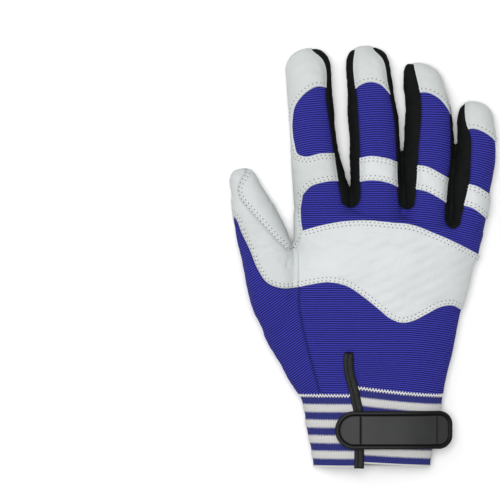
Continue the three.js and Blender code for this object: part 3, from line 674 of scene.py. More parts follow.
def panel(name, keep, creases=(), marks=None, *, wall, dip, puff, relief, length, seed):
    """A panel of the hand: it swells between its seams and rolls down into them."""
    rows, tris = hand_sheet
    for key, sign in keep:
        rows, tris = cut(rows, tris, sign * column(rows, key))
    edge = distance_to(rows[:, :3], rows[np.unique(rim_of(tris)), :3])
    rise = puff * (1 - np.exp(-(edge / 4) ** 2)) - dip * np.exp(-(edge / 1.1) ** 2)
    rise += relief * ripple(rows[:, :3] * (1, 1.9, 1), length, seed) * np.clip(edge / 5, 0, 1)
    pressed = sunk(rows, creases)
    floor = LEAST_HEIGHT + np.maximum(pressed, 0.5 * np.exp(-((rows[:, 1] - CUFF_LENGTH) / 2.6) ** 2))
    outer = rows[:, :3] + rows[:, 3:6] * (rise - pressed)[:, None]
    outer[:, 2] = np.maximum(outer[:, 2], floor)
    inner = rows[:, :3] - rows[:, 3:6] * wall
    inner[:, 2] = np.maximum(inner[:, 2], floor + wall * 0.7)
    surfaces[name] = surface_of(outer, tris)
    return shell(name, outer, inner, tris, edge=edge, **(marks(rows) if marks else {}))


def mark_of(tree, name):
    return add(tree, "ShaderNodeAttribute", attribute_name=name).outputs["Fac"]


def blend(tree, share, low, high, way="MIX"):
    """A share of the way from one colour to another, each a value or a socket."""
    mix = {"Factor": share, "A": low, "B": high}
    return add(tree, "ShaderNodeMix", mix, data_type="RGBA", blend_type=way).outputs["Result"]


def painted_edge_light(tree, color, tone, width):
    """The colour with painted light along the piece's edges, over this many mm: a tone below 1 paints shade
    into the seams, a tone above 1 paints a highlight on the rounded edge.
    """
    edge = mark_of(tree, "edge")
    near = add(tree, "ShaderNodeMapRange",
               {"Value": edge, "From Min": 0.0, "From Max": width, "To Min": tone, "To Max": 1.0},
               interpolation_type="SMOOTHSTEP").outputs["Result"]
    return blend(tree, 1.0, color, near, "MULTIPLY")


def leather_finish(name, color, painted_edge_tone=0.8, edge_width=1.5):
    """Full-grain leather: fine pebbled grain, soft creases, and painted light along the edges: painted shade
    in the seams where the edge tone is below 1, a painted highlight on raised edges where it is above 1.
    """
    material, tree, shader, spot = finish_named(name)
    clouds = noise(tree, spot, 45.0, 5.0, Roughness=0.6)
    tone = blend(tree, clouds, *[(*(c * share for c in color), 1) for share in (0.86, 1.08)])
    grain = add(tree, "ShaderNodeTexVoronoi", {"Vector": spot, "Scale": 1150.0}).outputs["Distance"]
    low = bumped(tree, noise(tree, spot, 85.0, 3.0, Distortion=1.6), 0.0012, 0.3)
    mid = bumped(tree, noise(tree, spot, 260.0, 4.0, Distortion=0.8), 0.0004, 0.35, Normal=low)
    high = bumped(tree, grain, 0.00012, 0.5, Normal=mid)
    rough = add(tree, "ShaderNodeMapRange", {"Value": clouds, "To Min": 0.5, "To Max": 0.68})
    color = painted_edge_light(tree, tone, painted_edge_tone, edge_width)
    dress(tree, shader, color, rough.outputs["Result"], normal=high)
    return material


def from_palm_view(points):
    """From pixels of a picture of the palm side to mm from the hem."""
    return [((x - PALM_CORNER[0]) * PALM_STEP, (PALM_CORNER[1] - y) * PALM_STEP) for x, y in points]


# Quilting: a scalloped line under the fingers, and plain lines across the palm
PALM_LINES = [from_palm_view(points) for points in (
    [(76.4, 229.1), (81, 212), (86.7, 198.2), (94.5, 191.9), (102.4, 195.1), (108.5, 201.8), (120.6, 209.1),
     (136.3, 199.4), (146, 193.9), (156, 199), (165.4, 204.8), (175.1, 209.4), (184.8, 204.8),
     (194.5, 201.8), (204, 208), (213.9, 217), (223.6, 222.4), (230.9, 219.4)],
    [(77.6, 239.4), (90, 249), (106, 259), (118.2, 260), (170, 250), (224.8, 239.4), (236.9, 238.2)],
    [(84, 262), (96, 272), (110, 280), (124, 281), (174, 271), (226, 260), (237, 259)],
    [(97, 288), (108, 296), (120, 301), (132, 301), (178, 291.5), (224, 281.5), (235, 280.5)])]
PALM_CREASES = [from_palm_view(points) for points in (
    [(80, 268), (88, 290), (101, 318)],
    [(92, 310), (104, 334), (118, 352)],
    [(58, 214), (64, 232), (66, 250)])]
palm_creases = [(line, -1, 0.5, 0.8) for line in PALM_LINES]
palm_creases += [(line, -1, 0.9, 2.2) for line in PALM_CREASES]
# The palm and thumb leather is painted darker along its edges: painted shade in the seams.
leather = leather_finish("white_leather", WHITE_LEATHER)
palm = panel("palm_leather_sewn", [("palm_side", 1)] + not_sewn_in, palm_creases,
             wall=1.4, dip=0.45, puff=0.35, relief=0.16, length=11, seed=5)
piece_finish(palm, leather, "leather", "palm_leather")

# Back: one panel of ribbed stretch knit under all of the back's leather, from the cuff to the fingertips,
# slit above the wrist for the opening.
RIB_PITCH = 1.32
LOOP_WIDTH = 1.1
# The knit's blue in the rib valleys, with painted shade, and on the ridges, with painted light
SHADED_VALLEY_BLUE = (0.0005, 0.0005, 0.045, 1)
LIT_RIDGE_BLUE = (0.05, 0.05, 0.41, 1)


def calc(tree, operation, *values):
    return add(tree, "ShaderNodeMath", dict(enumerate(values)), operation=operation).outputs[0]


def courses(rows):
    """Which rib a point of the back lies on, in mm: level over the hand, and bowed across each finger."""
    pulled = cuff_seam(rows) - CUFF_LENGTH
    level = rows[:, 1] - pulled * smoothstep(np.clip(1 - (rows[:, 1] - CUFF_LENGTH) / SLIT_LENGTH, 0, 1))
    level += 0.003 * np.clip(rows[:, 0] - 4, 0, None) ** 2
    found, nearest = level.copy(), np.full(len(rows), np.inf)
    for name in ("index", "middle", "ring", "little"):
        root = digit_point(name, 0, 0)
        forward, aside = digit_point(name, 1, 0) - root, digit_point(name, 0, 1) - root
        along = (rows[:, :2] - root) @ forward / (forward @ forward)
        across = (rows[:, :2] - root) @ aside / (aside @ aside)
        there = smoothstep(np.clip((along - 0.03) / 0.3, 0, 1))
        bowed = 1 - np.clip((along - 0.3) / 0.45, 0, 1)
        own = root[1] + along * DIGITS[name][0] + 2.6 * (across + 0.1) ** 2 * bowed
        found = np.where(np.abs(across) < nearest, level + (own - level) * there, found)
        nearest = np.minimum(nearest, np.abs(across))
    return {"course": found}


def knit_finish(name, slant):
    """Rib knit: raised ribs crossed by the rows of its loops, with painted shade in the valleys and painted
    light on the ridges. Without a slant they follow the courses.
    """
    material, tree, shader, spot = finish_named(name)
    turned = add(tree, "ShaderNodeMapping", {"Vector": spot, "Rotation": (0, 0, -math.radians(slant)),
                 "Scale": (1000, 1000, 1000)}).outputs["Vector"]
    x, y, z = add(tree, "ShaderNodeSeparateXYZ", {"Vector": turned}).outputs

    def wave(value, length, shift=0.0):
        angle = calc(tree, "MULTIPLY_ADD", value, 2 * math.pi / length, shift)
        return calc(tree, "MULTIPLY_ADD", calc(tree, "SINE", angle), 0.5, 0.5)

    bent = calc(tree, "MULTIPLY_ADD", noise(tree, spot, 60.0), 0.9, y if slant else mark_of(tree, "course"))
    stagger = calc(tree, "MULTIPLY", calc(tree, "FLOOR", calc(tree, "DIVIDE", bent, RIB_PITCH)), math.pi)
    loops = wave(calc(tree, "ADD", x, z), LOOP_WIDTH, stagger)
    height = calc(tree, "MULTIPLY", wave(bent, RIB_PITCH), calc(tree, "MULTIPLY_ADD", loops, 0.3, 0.7))
    lit = calc(tree, "MULTIPLY_ADD", noise(tree, spot, 1400.0), 0.35, height)
    color = blend(tree, calc(tree, "POWER", lit, 1.5), SHADED_VALLEY_BLUE, LIT_RIDGE_BLUE)
    # The knit is painted darker along its seams: painted shade.
    dress(tree, shader, painted_edge_light(tree, color, 0.6, 1.5), 0.9, 0.15, bumped(tree, lit, 0.00035, 0.8))
    return material


back_knit = knit_finish("blue_rib_knit", 0)
back = panel("back_knit_sewn", [("back", 1), ("thumb_front", -1), ("slit", -1)] + not_sewn_in, marks=courses,
             wall=1.3, dip=0.6, puff=0.25, relief=0.1, length=12, seed=8)
piece_finish(back, back_knit, "back_knit", "back_knit")

# Gusset: the same knit, cut on the slant and set in round the base of the thumb from the back to the
# palm side, so that the thumb can swing.
gusset_knit = knit_finish("blue_rib_knit_slanting", 36)
gusset = panel("thumb_gusset_sewn", [("thumb_gusset", 1)],
               wall=1.3, dip=0.6, puff=0.3, relief=0.15, length=14, seed=4)
piece_finish(gusset, gusset_knit, "gusset_knit", "thumb_gusset")

# Thumb back: the same white leather, from the thumb's tip down over the gusset and on to the knuckle
# patch, sewn to the palm's leather along the thumb's inner side.
THUMB_CREASES = [(((-59.5, 128.5), (-62, 123), (-62, 118)), 1, 0.5, 1.3),
                 (((-66, 124), (-69, 119)), 1, 0.3, 1.2)]
thumb = panel("thumb_back_sewn", [("thumb_back", 1)], THUMB_CREASES,
              wall=1.4, dip=0.45, puff=0.45, relief=0.2, length=9, seed=6)
piece_finish(thumb, leather, "leather", "thumb_back")

# Side strips: black stretch fabric between each two fingers. Each is one long strip, sewn in from the web
# up both sides to the tips.
strip_cloth, tree, shader, spot = finish_named("black_stretch_fabric")
rib_rows = add(tree, "ShaderNodeTexWave", {"Vector": spot, "Scale": 180.0, "Distortion": 1.5},
               bands_direction="Y").outputs["Fac"]
black = blend(tree, noise(tree, spot, 300.0, 4.0), (0.0016, 0.002, 0.0019, 1), (0.006, 0.0075, 0.007, 1))
dress(tree, shader, black, 0.85, 0.12, bumped(tree, rib_rows, 0.0002, 0.4))
# From each gap's end down to the web's end
WEB_CREASES = [((-41.5, 166), (-26.5, 157)), ((5.8, 187), (8.6, 156)), ((36.5, 178), (36.8, 145))]
for (name, *_), crease in zip(STRIPS, WEB_CREASES):
    strip = panel(name + "_sewn", [(name, 1)], [(crease, 1, 0.9, 0.7)],
                  wall=1.3, dip=0.5, puff=0.2, relief=0.15, length=8, seed=2)
    piece_finish(strip, strip_cloth, "side_strip", name)

# Leather of the back, sewn on over the knit: the frame round the index finger's knit window, a band
# across the root and a cap on the tip of the other fingers, and the scalloped patch over the knuckles.

# Lines to be stitched at the end: points on the leather, each with the way that faces out of it
stitch_lines = []
ABOVE = 60


def beside(line, distance):
    """The line moved to its left by a distance, or to its right where it is below 0."""
    ahead = np.gradient(line, axis=0)
    ahead /= np.linalg.norm(ahead, axis=1, keepdims=True)
    return line + distance * np.stack([-ahead[:, 1], ahead[:, 0]], axis=1)


def laid(line, sheets, side=1):
    """Stretches of a flat line laid on the highest of these surfaces, seen from the back or the palm."""
    runs, run = [], []
    for x, y in smooth(line, 0.6):
        found = [hit for sheet in sheets if (hit := sheet.ray_cast((x, y, ABOVE * side), (0, 0, -side)))[0]]
        if found:
            spot, out, *_ = max(found, key=lambda hit: side * hit[0].z)
            run.append((*spot, *(out if out.z * side > 0 else -out)))
        elif run:
            runs.append(run)
            run = []
    return [np.array(run) for run in runs + [run] if len(run) > 4]


SKIN = 0.95
SKIN_LIFT = 0.25
SKIN_BACK = -0.3
CAP_EDGES = {
    "middle": [(0.72, -0.7), (0.755, -0.35), (0.772, 0.1), (0.755, 0.48), (0.7, 0.84), (0.62, 1.25)],
    "ring": [(0.8, -0.4), (0.795, 0.14), (0.76, 0.56), (0.7, 0.92), (0.6, 1.3)],
    "little": [(0.76, -0.5), (0.774, 0), (0.755, 0.45), (0.71, 0.95), (0.65, 1.4)],
}
BAND_EDGES = {
    "middle": ([(0.3, -0.7), (0.309, -0.1), (0.294, 0.4), (0.24, 1.25)],
               [(0.154, -0.8), (0.151, 0), (0.134, 0.45), (0.08, 1.2)]),
    "ring": ([(0.315, -0.6), (0.305, 0), (0.265, 0.5), (0.19, 1.3)],
             [(0.16, -0.7), (0.135, -0.05), (0.095, 0.45), (0.03, 1.1)]),
    "little": ([(0.315, -0.3), (0.305, 0.3), (0.265, 0.85), (0.21, 1.4)],
               [(0.14, -0.5), (0.11, 0.3), (0.06, 0.8), (-0.01, 1.4)]),
}
FRAME_LOWER = [(0.1, 1.4), (0.112, 0.82), (0.11, 0.1), (0.095, -0.36), (0.045, -0.74)]
FRAME_STRIP = [(-0.466, 0.99), (-0.462, 0.93), (-0.456, 0.895), (-0.466, 0.85), (-0.493, 0.8)]
FRAME_WINDOW = [(0.72, 1.4), (0.731, 0.75), (0.741, 0.3), (0.71, -0.17), (0.63, -0.67), (0.51, -0.87),
                (0.4, -0.87), (0.31, -0.74), (0.293, -0.45), (0.304, 0.1), (0.297, 0.8), (0.29, 1.4)]
PATCH_SIDE = [(-0.476, 0.7), (-0.479, 0.77), (-0.491, 0.8), (-0.466, 0.85)]
PATCH_UPPER = [(-0.456, 0.894), (-0.36, 0.922), (-0.16, 0.949), (-0.005, 0.936), (0.103, 0.924),
               (0.231, 0.876), (0.368, 0.812), (0.5, 0.74)]
PATCH_LOWER = [(0.5, 0.46), (0.368, 0.467), (0.312, 0.493), (0.257, 0.486), (0.183, 0.448), (0.109, 0.41),
               (0.054, 0.4), (-0.002, 0.419), (-0.066, 0.472), (-0.14, 0.534), (-0.232, 0.596),
               (-0.325, 0.616), (-0.417, 0.604), (-0.476, 0.592)]
# The bands and the knuckle patch are the same white leather painted lighter: painted light, as on parts that
# face the light. The caps and the index frame keep the plain tone. Both paint a highlight along their edges.
lit_leather = leather_finish("white_leather_painted_lighter", (0.575, 0.6, 0.605), 1.1, 1.0)
tip_leather = leather_finish("white_leather_tips", (0.51, 0.54, 0.535), 1.1, 1.0)


def rounded(share):
    """A quarter round that rises from 0 to 1."""
    return np.sqrt(np.clip(1 - (1 - np.minimum(share, 1)) ** 2, 0, 1))


def from_side_seams(rows):
    """How far a point of the back is from the side seams and the side strips."""
    return np.min([column(rows, "back")] + [-column(rows, name) for name, *_ in STRIPS], axis=0)


over_sheet = cut(*hand_sheet, from_side_seams(hand_sheet[0]))


def over_back(node, finish, outline, sewn, window=None, joins=None):
    """A leather piece over the knit, with its stitch lines, and the line where it joins another piece."""
    name = node + "_sewn"
    rows, tris = over_sheet
    rows, tris = cut(rows, tris, inside(outline, rows[:, :2]))
    if window is not None:
        rows, tris = cut(rows, tris, -inside(window, rows[:, :2]))
    rows, tris = finer(rows, tris)
    edge = distance_to(rows[:, :3], rows[np.unique(rim_of(tris)), :3])
    rise = SKIN_LIFT + SKIN * rounded(edge / 0.9) + 0.35 * (1 - np.exp(-(edge / 7) ** 2))
    rise += 0.14 * ripple(rows[:, :3] * (1, 1.6, 1), 10, len(name)) * np.clip(edge / 6, 0, 1)
    # its ends go down into the side seams with the knit
    rise *= 1 - 0.85 * np.exp(-(np.clip(from_side_seams(rows), 0, None) / 2.4) ** 2)
    if joins is not None:
        rise *= 1 - 0.6 * np.exp(-(off_line(rows, smooth(joins, 0.5)) / 4.5) ** 2)
    holes = np.concatenate([smooth(line, 0.5) for line in sewn])
    rise -= 0.3 * np.exp(-(off_line(rows, holes) / 0.6) ** 2)
    outer = rows[:, :3] + rows[:, 3:6] * rise[:, None]
    inner = rows[:, :3] + rows[:, 3:6] * SKIN_BACK
    piece_finish(shell(name, outer, inner, tris, edge=edge), finish, "leather", node)
    for line in sewn:
        stitch_lines.extend(laid(line, [surface_of(outer, tris)]))


# Rows of stitches, from a piece's edge: the first of a pair, the second after it, and a cap's single row
FIRST_ROW = 1.15
ROW_GAP = 1.8
CAP_ROW = 2.3


def pair_beside(line, side):
    return [beside(line, side * FIRST_ROW), beside(line, side * (FIRST_ROW + ROW_GAP))]


for name in ("middle", "ring", "little"):
    edge_line = smooth(on_digit(name, CAP_EDGES[name]))
    beyond = on_digit(name, [(1.2, 1.4), (1.2, -1.4)])
    over_back(name + "_cap", tip_leather, joined(edge_line, beyond), [beside(edge_line, CAP_ROW)])
    high, low = (smooth(on_digit(name, line)) for line in BAND_EDGES[name])
    band_rows = pair_beside(high, -1) + pair_beside(low, 1)
    over_back(name + "_band", lit_leather, joined(low, high[::-1]), band_rows)
frame_low = smooth(on_digit("index", FRAME_LOWER))
frame_edge = smooth(joined(frame_low[-1:], on_hand(FRAME_STRIP)))
window = smooth(on_digit("index", FRAME_WINDOW))
tip_part, root_part = np.split(window, [len(window) * 6 // 10])
past_tip = on_digit("index", [(1.2, -1.4), (1.2, 1.4)])
frame_outline = joined(past_tip, frame_low, frame_edge[1:], on_hand(CROTCH_PATH))
over_back("index_leather", tip_leather, frame_outline,
          [beside(tip_part, -2.4), beside(root_part, -1.4), beside(root_part, -3.2)]
          + pair_beside(frame_low, -1) + [beside(frame_edge, -FIRST_ROW)], window)
patch_high, patch_low = smooth(on_hand(PATCH_UPPER)), smooth(on_hand(PATCH_LOWER))
patch_side = on_hand(PATCH_SIDE)
patch_rows = pair_beside(patch_high, -1) + pair_beside(patch_low, -1)
over_back("knuckle_patch", lit_leather, joined(patch_high, patch_low, patch_side), patch_rows,
          joins=joined(patch_low[-1:], patch_side[:3]))

# Cuff: a wide elastic knit with woven-in blue and white stripes, sewn to the hand with a white overlock
# seam and turned up into a narrow hem.
STRIPE = 4.72
FIRST_STRIPE = 4.0
HEM_STRIPE = 41.1
WRIST_HALF_WIDTH, WRIST_HALF_HEIGHT = 38, 12
CUFF_WALL = 1.3
CUFF_RIB = 0.95
CUFF_LOOP = 0.8
rows, tris = cut(form_rows, triangles, -column(form_rows, "hand"))
rows, tris = cut(rows, tris, column(rows, "hem"))
rows, tris = cut(rows, tris, -column(rows, "slit"))
rows, tris = finer(rows, tris)
down = cuff_seam(rows[:, :3]) - rows[:, 1]
down *= CUFF_LENGTH / (cuff_seam(rows[:, :3]) - hem_line(rows[:, :3]))
# The way round the cuff, in mm, along an oval of its size
aside = (rows[:, 0] - WRIST_X * PALM_WIDTH) / WRIST_HALF_WIDTH
swing = np.arctan2((rows[:, 2] - SEAM_HEIGHT) / WRIST_HALF_HEIGHT, aside)
girth = np.linspace(-math.pi, math.pi, 721)
steps = np.hypot(WRIST_HALF_WIDTH * np.sin(girth), WRIST_HALF_HEIGHT * np.cos(girth))
around = np.interp(swing, girth, np.cumsum(steps) * (girth[1] - girth[0]))
edge = distance_to(rows[:, :3], rows[np.unique(rim_of(tris)), :3])
gathers = np.sin((down - FIRST_STRIPE) / STRIPE * math.pi)
rise = 0.22 * gathers + 0.18 * ripple(rows[:, :3], 14, 12) - 0.25 * np.exp(-(edge / 0.7) ** 2)
outer = rows[:, :3] + rows[:, 3:6] * rise[:, None]
inner = rows[:, :3] - rows[:, 3:6] * CUFF_WALL
inner[:, 2] = np.maximum(inner[:, 2], 1.4)
outer[:, 2] = np.maximum(outer[:, 2], LEAST_HEIGHT + 0.5 * np.exp(-(down / 2.6) ** 2))
cuff = shell("wrist_cuff_knitted", outer, inner, tris, down=down, around=around, edge=edge)
surfaces["wrist_cuff_knitted"] = surface_of(outer, tris)
cuff_knit, tree, shader, spot = finish_named("striped_elastic_knit")
from_seam = mark_of(tree, "down")
ribs = calc(tree, "SINE", calc(tree, "MULTIPLY", mark_of(tree, "around"), 2 * math.pi / CUFF_RIB))
loops = calc(tree, "SINE", calc(tree, "MULTIPLY", from_seam, 2 * math.pi / CUFF_LOOP))
stray = noise(tree, spot, 700.0)
# The stripes' edges are toothed by the ribs
toothed = calc(tree, "MULTIPLY_ADD", ribs, 0.5, from_seam)
toothed = calc(tree, "ADD", toothed, calc(tree, "MULTIPLY_ADD", stray, 0.5, -0.25))
turn = calc(tree, "MULTIPLY", calc(tree, "SUBTRACT", toothed, FIRST_STRIPE), math.pi / STRIPE)
white = calc(tree, "SMOOTH_MIN", calc(tree, "MULTIPLY_ADD", calc(tree, "SINE", turn), 9.0, 0.5), 1.0, 0.1)
past_first = calc(tree, "GREATER_THAN", toothed, FIRST_STRIPE)
white = calc(tree, "MULTIPLY", calc(tree, "MAXIMUM", white, 0.0), past_first)
white = calc(tree, "MAXIMUM", white, calc(tree, "GREATER_THAN", from_seam, HEM_STRIPE))
relief = calc(tree, "MULTIPLY_ADD", loops, 0.25, calc(tree, "MULTIPLY", ribs, 0.5))
# In both stripes the hollows of the ribs and loops are painted darker and their tops lighter: painted shade
# and painted light.
lit = calc(tree, "MULTIPLY_ADD", relief, 0.5, 0.5)
blue = blend(tree, lit, (0.008, 0.009, 0.08, 1), (0.04, 0.045, 0.24, 1))
pale = blend(tree, lit, (0.42, 0.42, 0.41, 1), (0.7, 0.7, 0.69, 1))
dress(tree, shader, blend(tree, white, blue, pale), 0.9, 0.2,
      bumped(tree, calc(tree, "ADD", relief, stray), 0.0003, 0.7))
piece_finish(cuff, cuff_knit, "cuff_knit", "wrist_cuff")

# Slit tape: black woven tape folded over each edge of the slit and sewn down, from the hem up to where
# both edges meet.
TAPE_SINK = 0.45
TAPE_BACK = 0.9
TAPE_STATIONS_TO_FULL = 3.2
tape_cloth, tree, shader, spot = finish_named("black_woven_tape")
weave = add(tree, "ShaderNodeTexWave", {"Vector": spot, "Scale": 420.0, "Distortion": 3.0},
            bands_direction="DIAGONAL").outputs["Fac"]
share = calc(tree, "MULTIPLY", weave, noise(tree, spot, 240.0, 3.0))
dress(tree, shader, blend(tree, share, (0.002, 0.003, 0.0025, 1), (0.014, 0.018, 0.016, 1)), 0.5, 0.24,
      bumped(tree, weave, 0.0002, 0.6))
form_surface = surface_of(place, triangles)
ring_turns = np.arange(24) / 24 * 2 * math.pi
flat_share = squared_off(np.cos(ring_turns), 0.7)
tall_share = squared_off(np.sin(ring_turns), 0.9)


def levelled(heights, reach):
    """Each height's mean with this many neighbours on both sides."""
    wide = 2 * reach + 1
    return np.convolve(np.pad(heights, reach, mode="edge"), np.ones(wide) / wide, "valid")


# How far each tape's middle is to the right of the slit's line, its width and its height
TAPES = {"binding_left": (-1.5, 3.1, 0.9), "binding_right": (0.95, 3.9, 1.6)}
slit = SLIT_LINE[SLIT_LINE[:, 1] > -0.8]
for name, (shift, width, high) in TAPES.items():
    middle = beside(slit, shift)
    level = levelled([form_surface.ray_cast((x, max(y, 0.6), ABOVE), (0, 0, -1))[0].z for x, y in middle], 4)
    ahead = np.gradient(middle, axis=0)
    ahead /= np.linalg.norm(ahead, axis=1, keepdims=True)
    rings = []
    for i, (x, y) in enumerate(middle):
        end = min(1, (i + 0.25) / TAPE_STATIONS_TO_FULL)
        end = math.sqrt(end * (2 - end))
        across = np.array([ahead[i, 1], -ahead[i, 0], 0])
        wavy = 0.12 * math.sin(i * 0.55 + shift)
        ring = np.outer(flat_share * width / 2 * (0.35 + 0.65 * end), across)
        ring += np.outer(tall_share * (high + TAPE_BACK + wavy) / 2 * (0.5 + 0.5 * end), (0, 0, 1))
        rings.append(ring + (x, y, level[i] + high / 2 - TAPE_SINK - 0.5 * (1 - end)))
    points, faces = loft(rings)
    tape = sheet_of(name + "_tape", metres(points), faces)
    tape.data.polygons.foreach_set("use_smooth", [True] * len(faces))
    piece_finish(tape, tape_cloth, "tape", name)

# Closure tab: soft moulded rubber, arched over the cuff and running on past its side, with a low rim
# round a raised field in three cells.
TAB_LEFT, TAB_RIGHT, TAB_MIDDLE = -33.7, 36.9, 22.7
TAB_WIDTH = 22.8
TAB_THICKNESS = 2.2
TAB_CORNER = 8.2
TAB_RIM = 2.5
TAB_FIELD = 0.7
TAB_GROOVES = (-18.5, 27.5)
TAB_LIFT = 1.15
TAB_STEEPEST = 0.42
TAB_EDGE_ROUND = 0.8
radius = TAB_WIDTH / 2
near_end = radius * (1 - np.cos(np.linspace(0.04, math.pi / 2, 26)))
far_end = TAB_CORNER * (1 - np.cos(np.linspace(0.05, math.pi / 2, 20)))
straight = np.arange(TAB_LEFT + radius + 0.45, TAB_RIGHT - TAB_CORNER - 0.2, 0.4)
stations = np.concatenate([TAB_LEFT + near_end, straight, TAB_RIGHT - far_end[::-1]])
seat = []
for i, x in enumerate(stations):
    hits = [form_surface.ray_cast((x, TAB_MIDDLE + y, ABOVE), (0, 0, -1))[0] for y in (-radius, 0, radius)]
    resting = max([hit.z for hit in hits if hit] + [0]) + TAB_LIFT
    seat.append(resting if i == 0 else max(resting, seat[-1] - TAB_STEEPEST * (x - stations[i - 1])))
seat = np.maximum(seat, levelled(seat, 6))
spread = squared_off(np.linspace(-1, 1, 61), 0.8)
# The left end is a half circle, and the right end has two round corners
into_left = np.clip(TAB_LEFT + radius - stations, 0, None)
into_right = np.clip(stations - (TAB_RIGHT - TAB_CORNER), 0, None)
half_width = np.sqrt(np.clip(radius ** 2 - into_left ** 2, 0, None))
corner_width = radius - TAB_CORNER + np.sqrt(np.clip(TAB_CORNER ** 2 - into_right ** 2, 0, None))
half_width = np.where(into_right > 0, corner_width, half_width)
x = np.repeat(stations, len(spread))
y = np.outer(half_width, spread).ravel()
to_side = radius - np.abs(y)
to_near = radius - np.hypot(np.minimum(x - TAB_LEFT - radius, 0), y)
corner_x, corner_y = x - (TAB_RIGHT - TAB_CORNER), np.abs(y) - (radius - TAB_CORNER)
to_far = np.where((corner_x > 0) & (corner_y > 0), TAB_CORNER - np.hypot(corner_x, corner_y), TAB_RIGHT - x)
inset = np.clip(np.minimum(np.minimum(to_side, to_near), to_far), 0, None)
field = smoothstep(np.clip((inset - TAB_RIM) / 0.5, 0, 1))
groove = np.exp(-((inset - TAB_RIM) / 0.3) ** 2)
for at in TAB_GROOVES:
    groove = np.maximum(groove, np.exp(-(np.abs(x - at) / 0.42) ** 3) * field)
height = TAB_THICKNESS - TAB_EDGE_ROUND * (1 - rounded(inset / TAB_EDGE_ROUND))
height += TAB_FIELD * field - 0.75 * groove
base = np.repeat(seat, len(spread))
top = np.stack([x, TAB_MIDDLE + y, base + height], axis=1)
bottom = np.stack([x, TAB_MIDDLE + y, base], axis=1)
wide = len(spread)
a = (np.arange(len(stations) - 1)[:, None] * wide + np.arange(wide - 1)).ravel()
halves = ((a, a + wide, a + wide + 1), (a, a + wide + 1, a + 1))
tris = np.concatenate([np.stack(corners, axis=1) for corners in halves])
tab = shell("wrist_tab_moulded", top, bottom, tris, field=field, groove=groove)
rubber, tree, shader, spot = finish_named("dark_moulded_rubber")
plate = blend(tree, noise(tree, spot, 70.0, 4.0), (0.022, 0.0225, 0.023, 1), (0.036, 0.0365, 0.037, 1))
rimmed = blend(tree, mark_of(tree, "field"), (0.006, 0.006, 0.0062, 1), plate)
# The grooves are painted near black: painted shade in the recesses.
dress(tree, shader, blend(tree, mark_of(tree, "groove"), rimmed, (0.003, 0.003, 0.003, 1)), 0.5, 0.16,
      bumped(tree, noise(tree, spot, 1500.0), 0.00006, 0.35))
piece_finish(tab, rubber, "tab_rubber", "wrist_tab")

# Seams of the thumb and of the gusset: topstitched in two rows, beside the seam that they hold flat. The
# palm's quilting is laid with them.
THUMB_ROWS = {"back": (0.6, 2.4), "palm": (-1.3, 1.3)}
THUMB_LOWER_ROWS = (1.15, 2.6)


def sew(line, sheets, distances, side=1):
    for distance in distances:
        stitch_lines.extend(laid(beside(line, distance), sheets, side))


both_thumb = [surfaces["thumb_back_sewn"], surfaces["palm_leather_sewn"]]
for view, side in (("back", 1), ("palm", -1)):
    sew(smooth(on_digit("thumb", THUMB_SEAM[view])), both_thumb, THUMB_ROWS[view], side)
    sew(smooth(on_digit("thumb", THUMB_LOWER[view])), both_thumb, THUMB_LOWER_ROWS, side)
for line in PALM_LINES:
    sew(smooth(line), [surfaces["palm_leather_sewn"]], [0], -1)

# Stitches: white thread along every line gathered above, with a dark dot at each needle's hole between:
# painted shade of the hole.
# The same tree sews the zigzag of the wrist after them.
STITCH_SIZES = {"Spacing": 0.0025, "Length": 0.0016, "Radius": 0.0002, "Hole": 0.0003, "Slant": 0.0}
LEAST_THREAD_HEIGHT = 0.0001


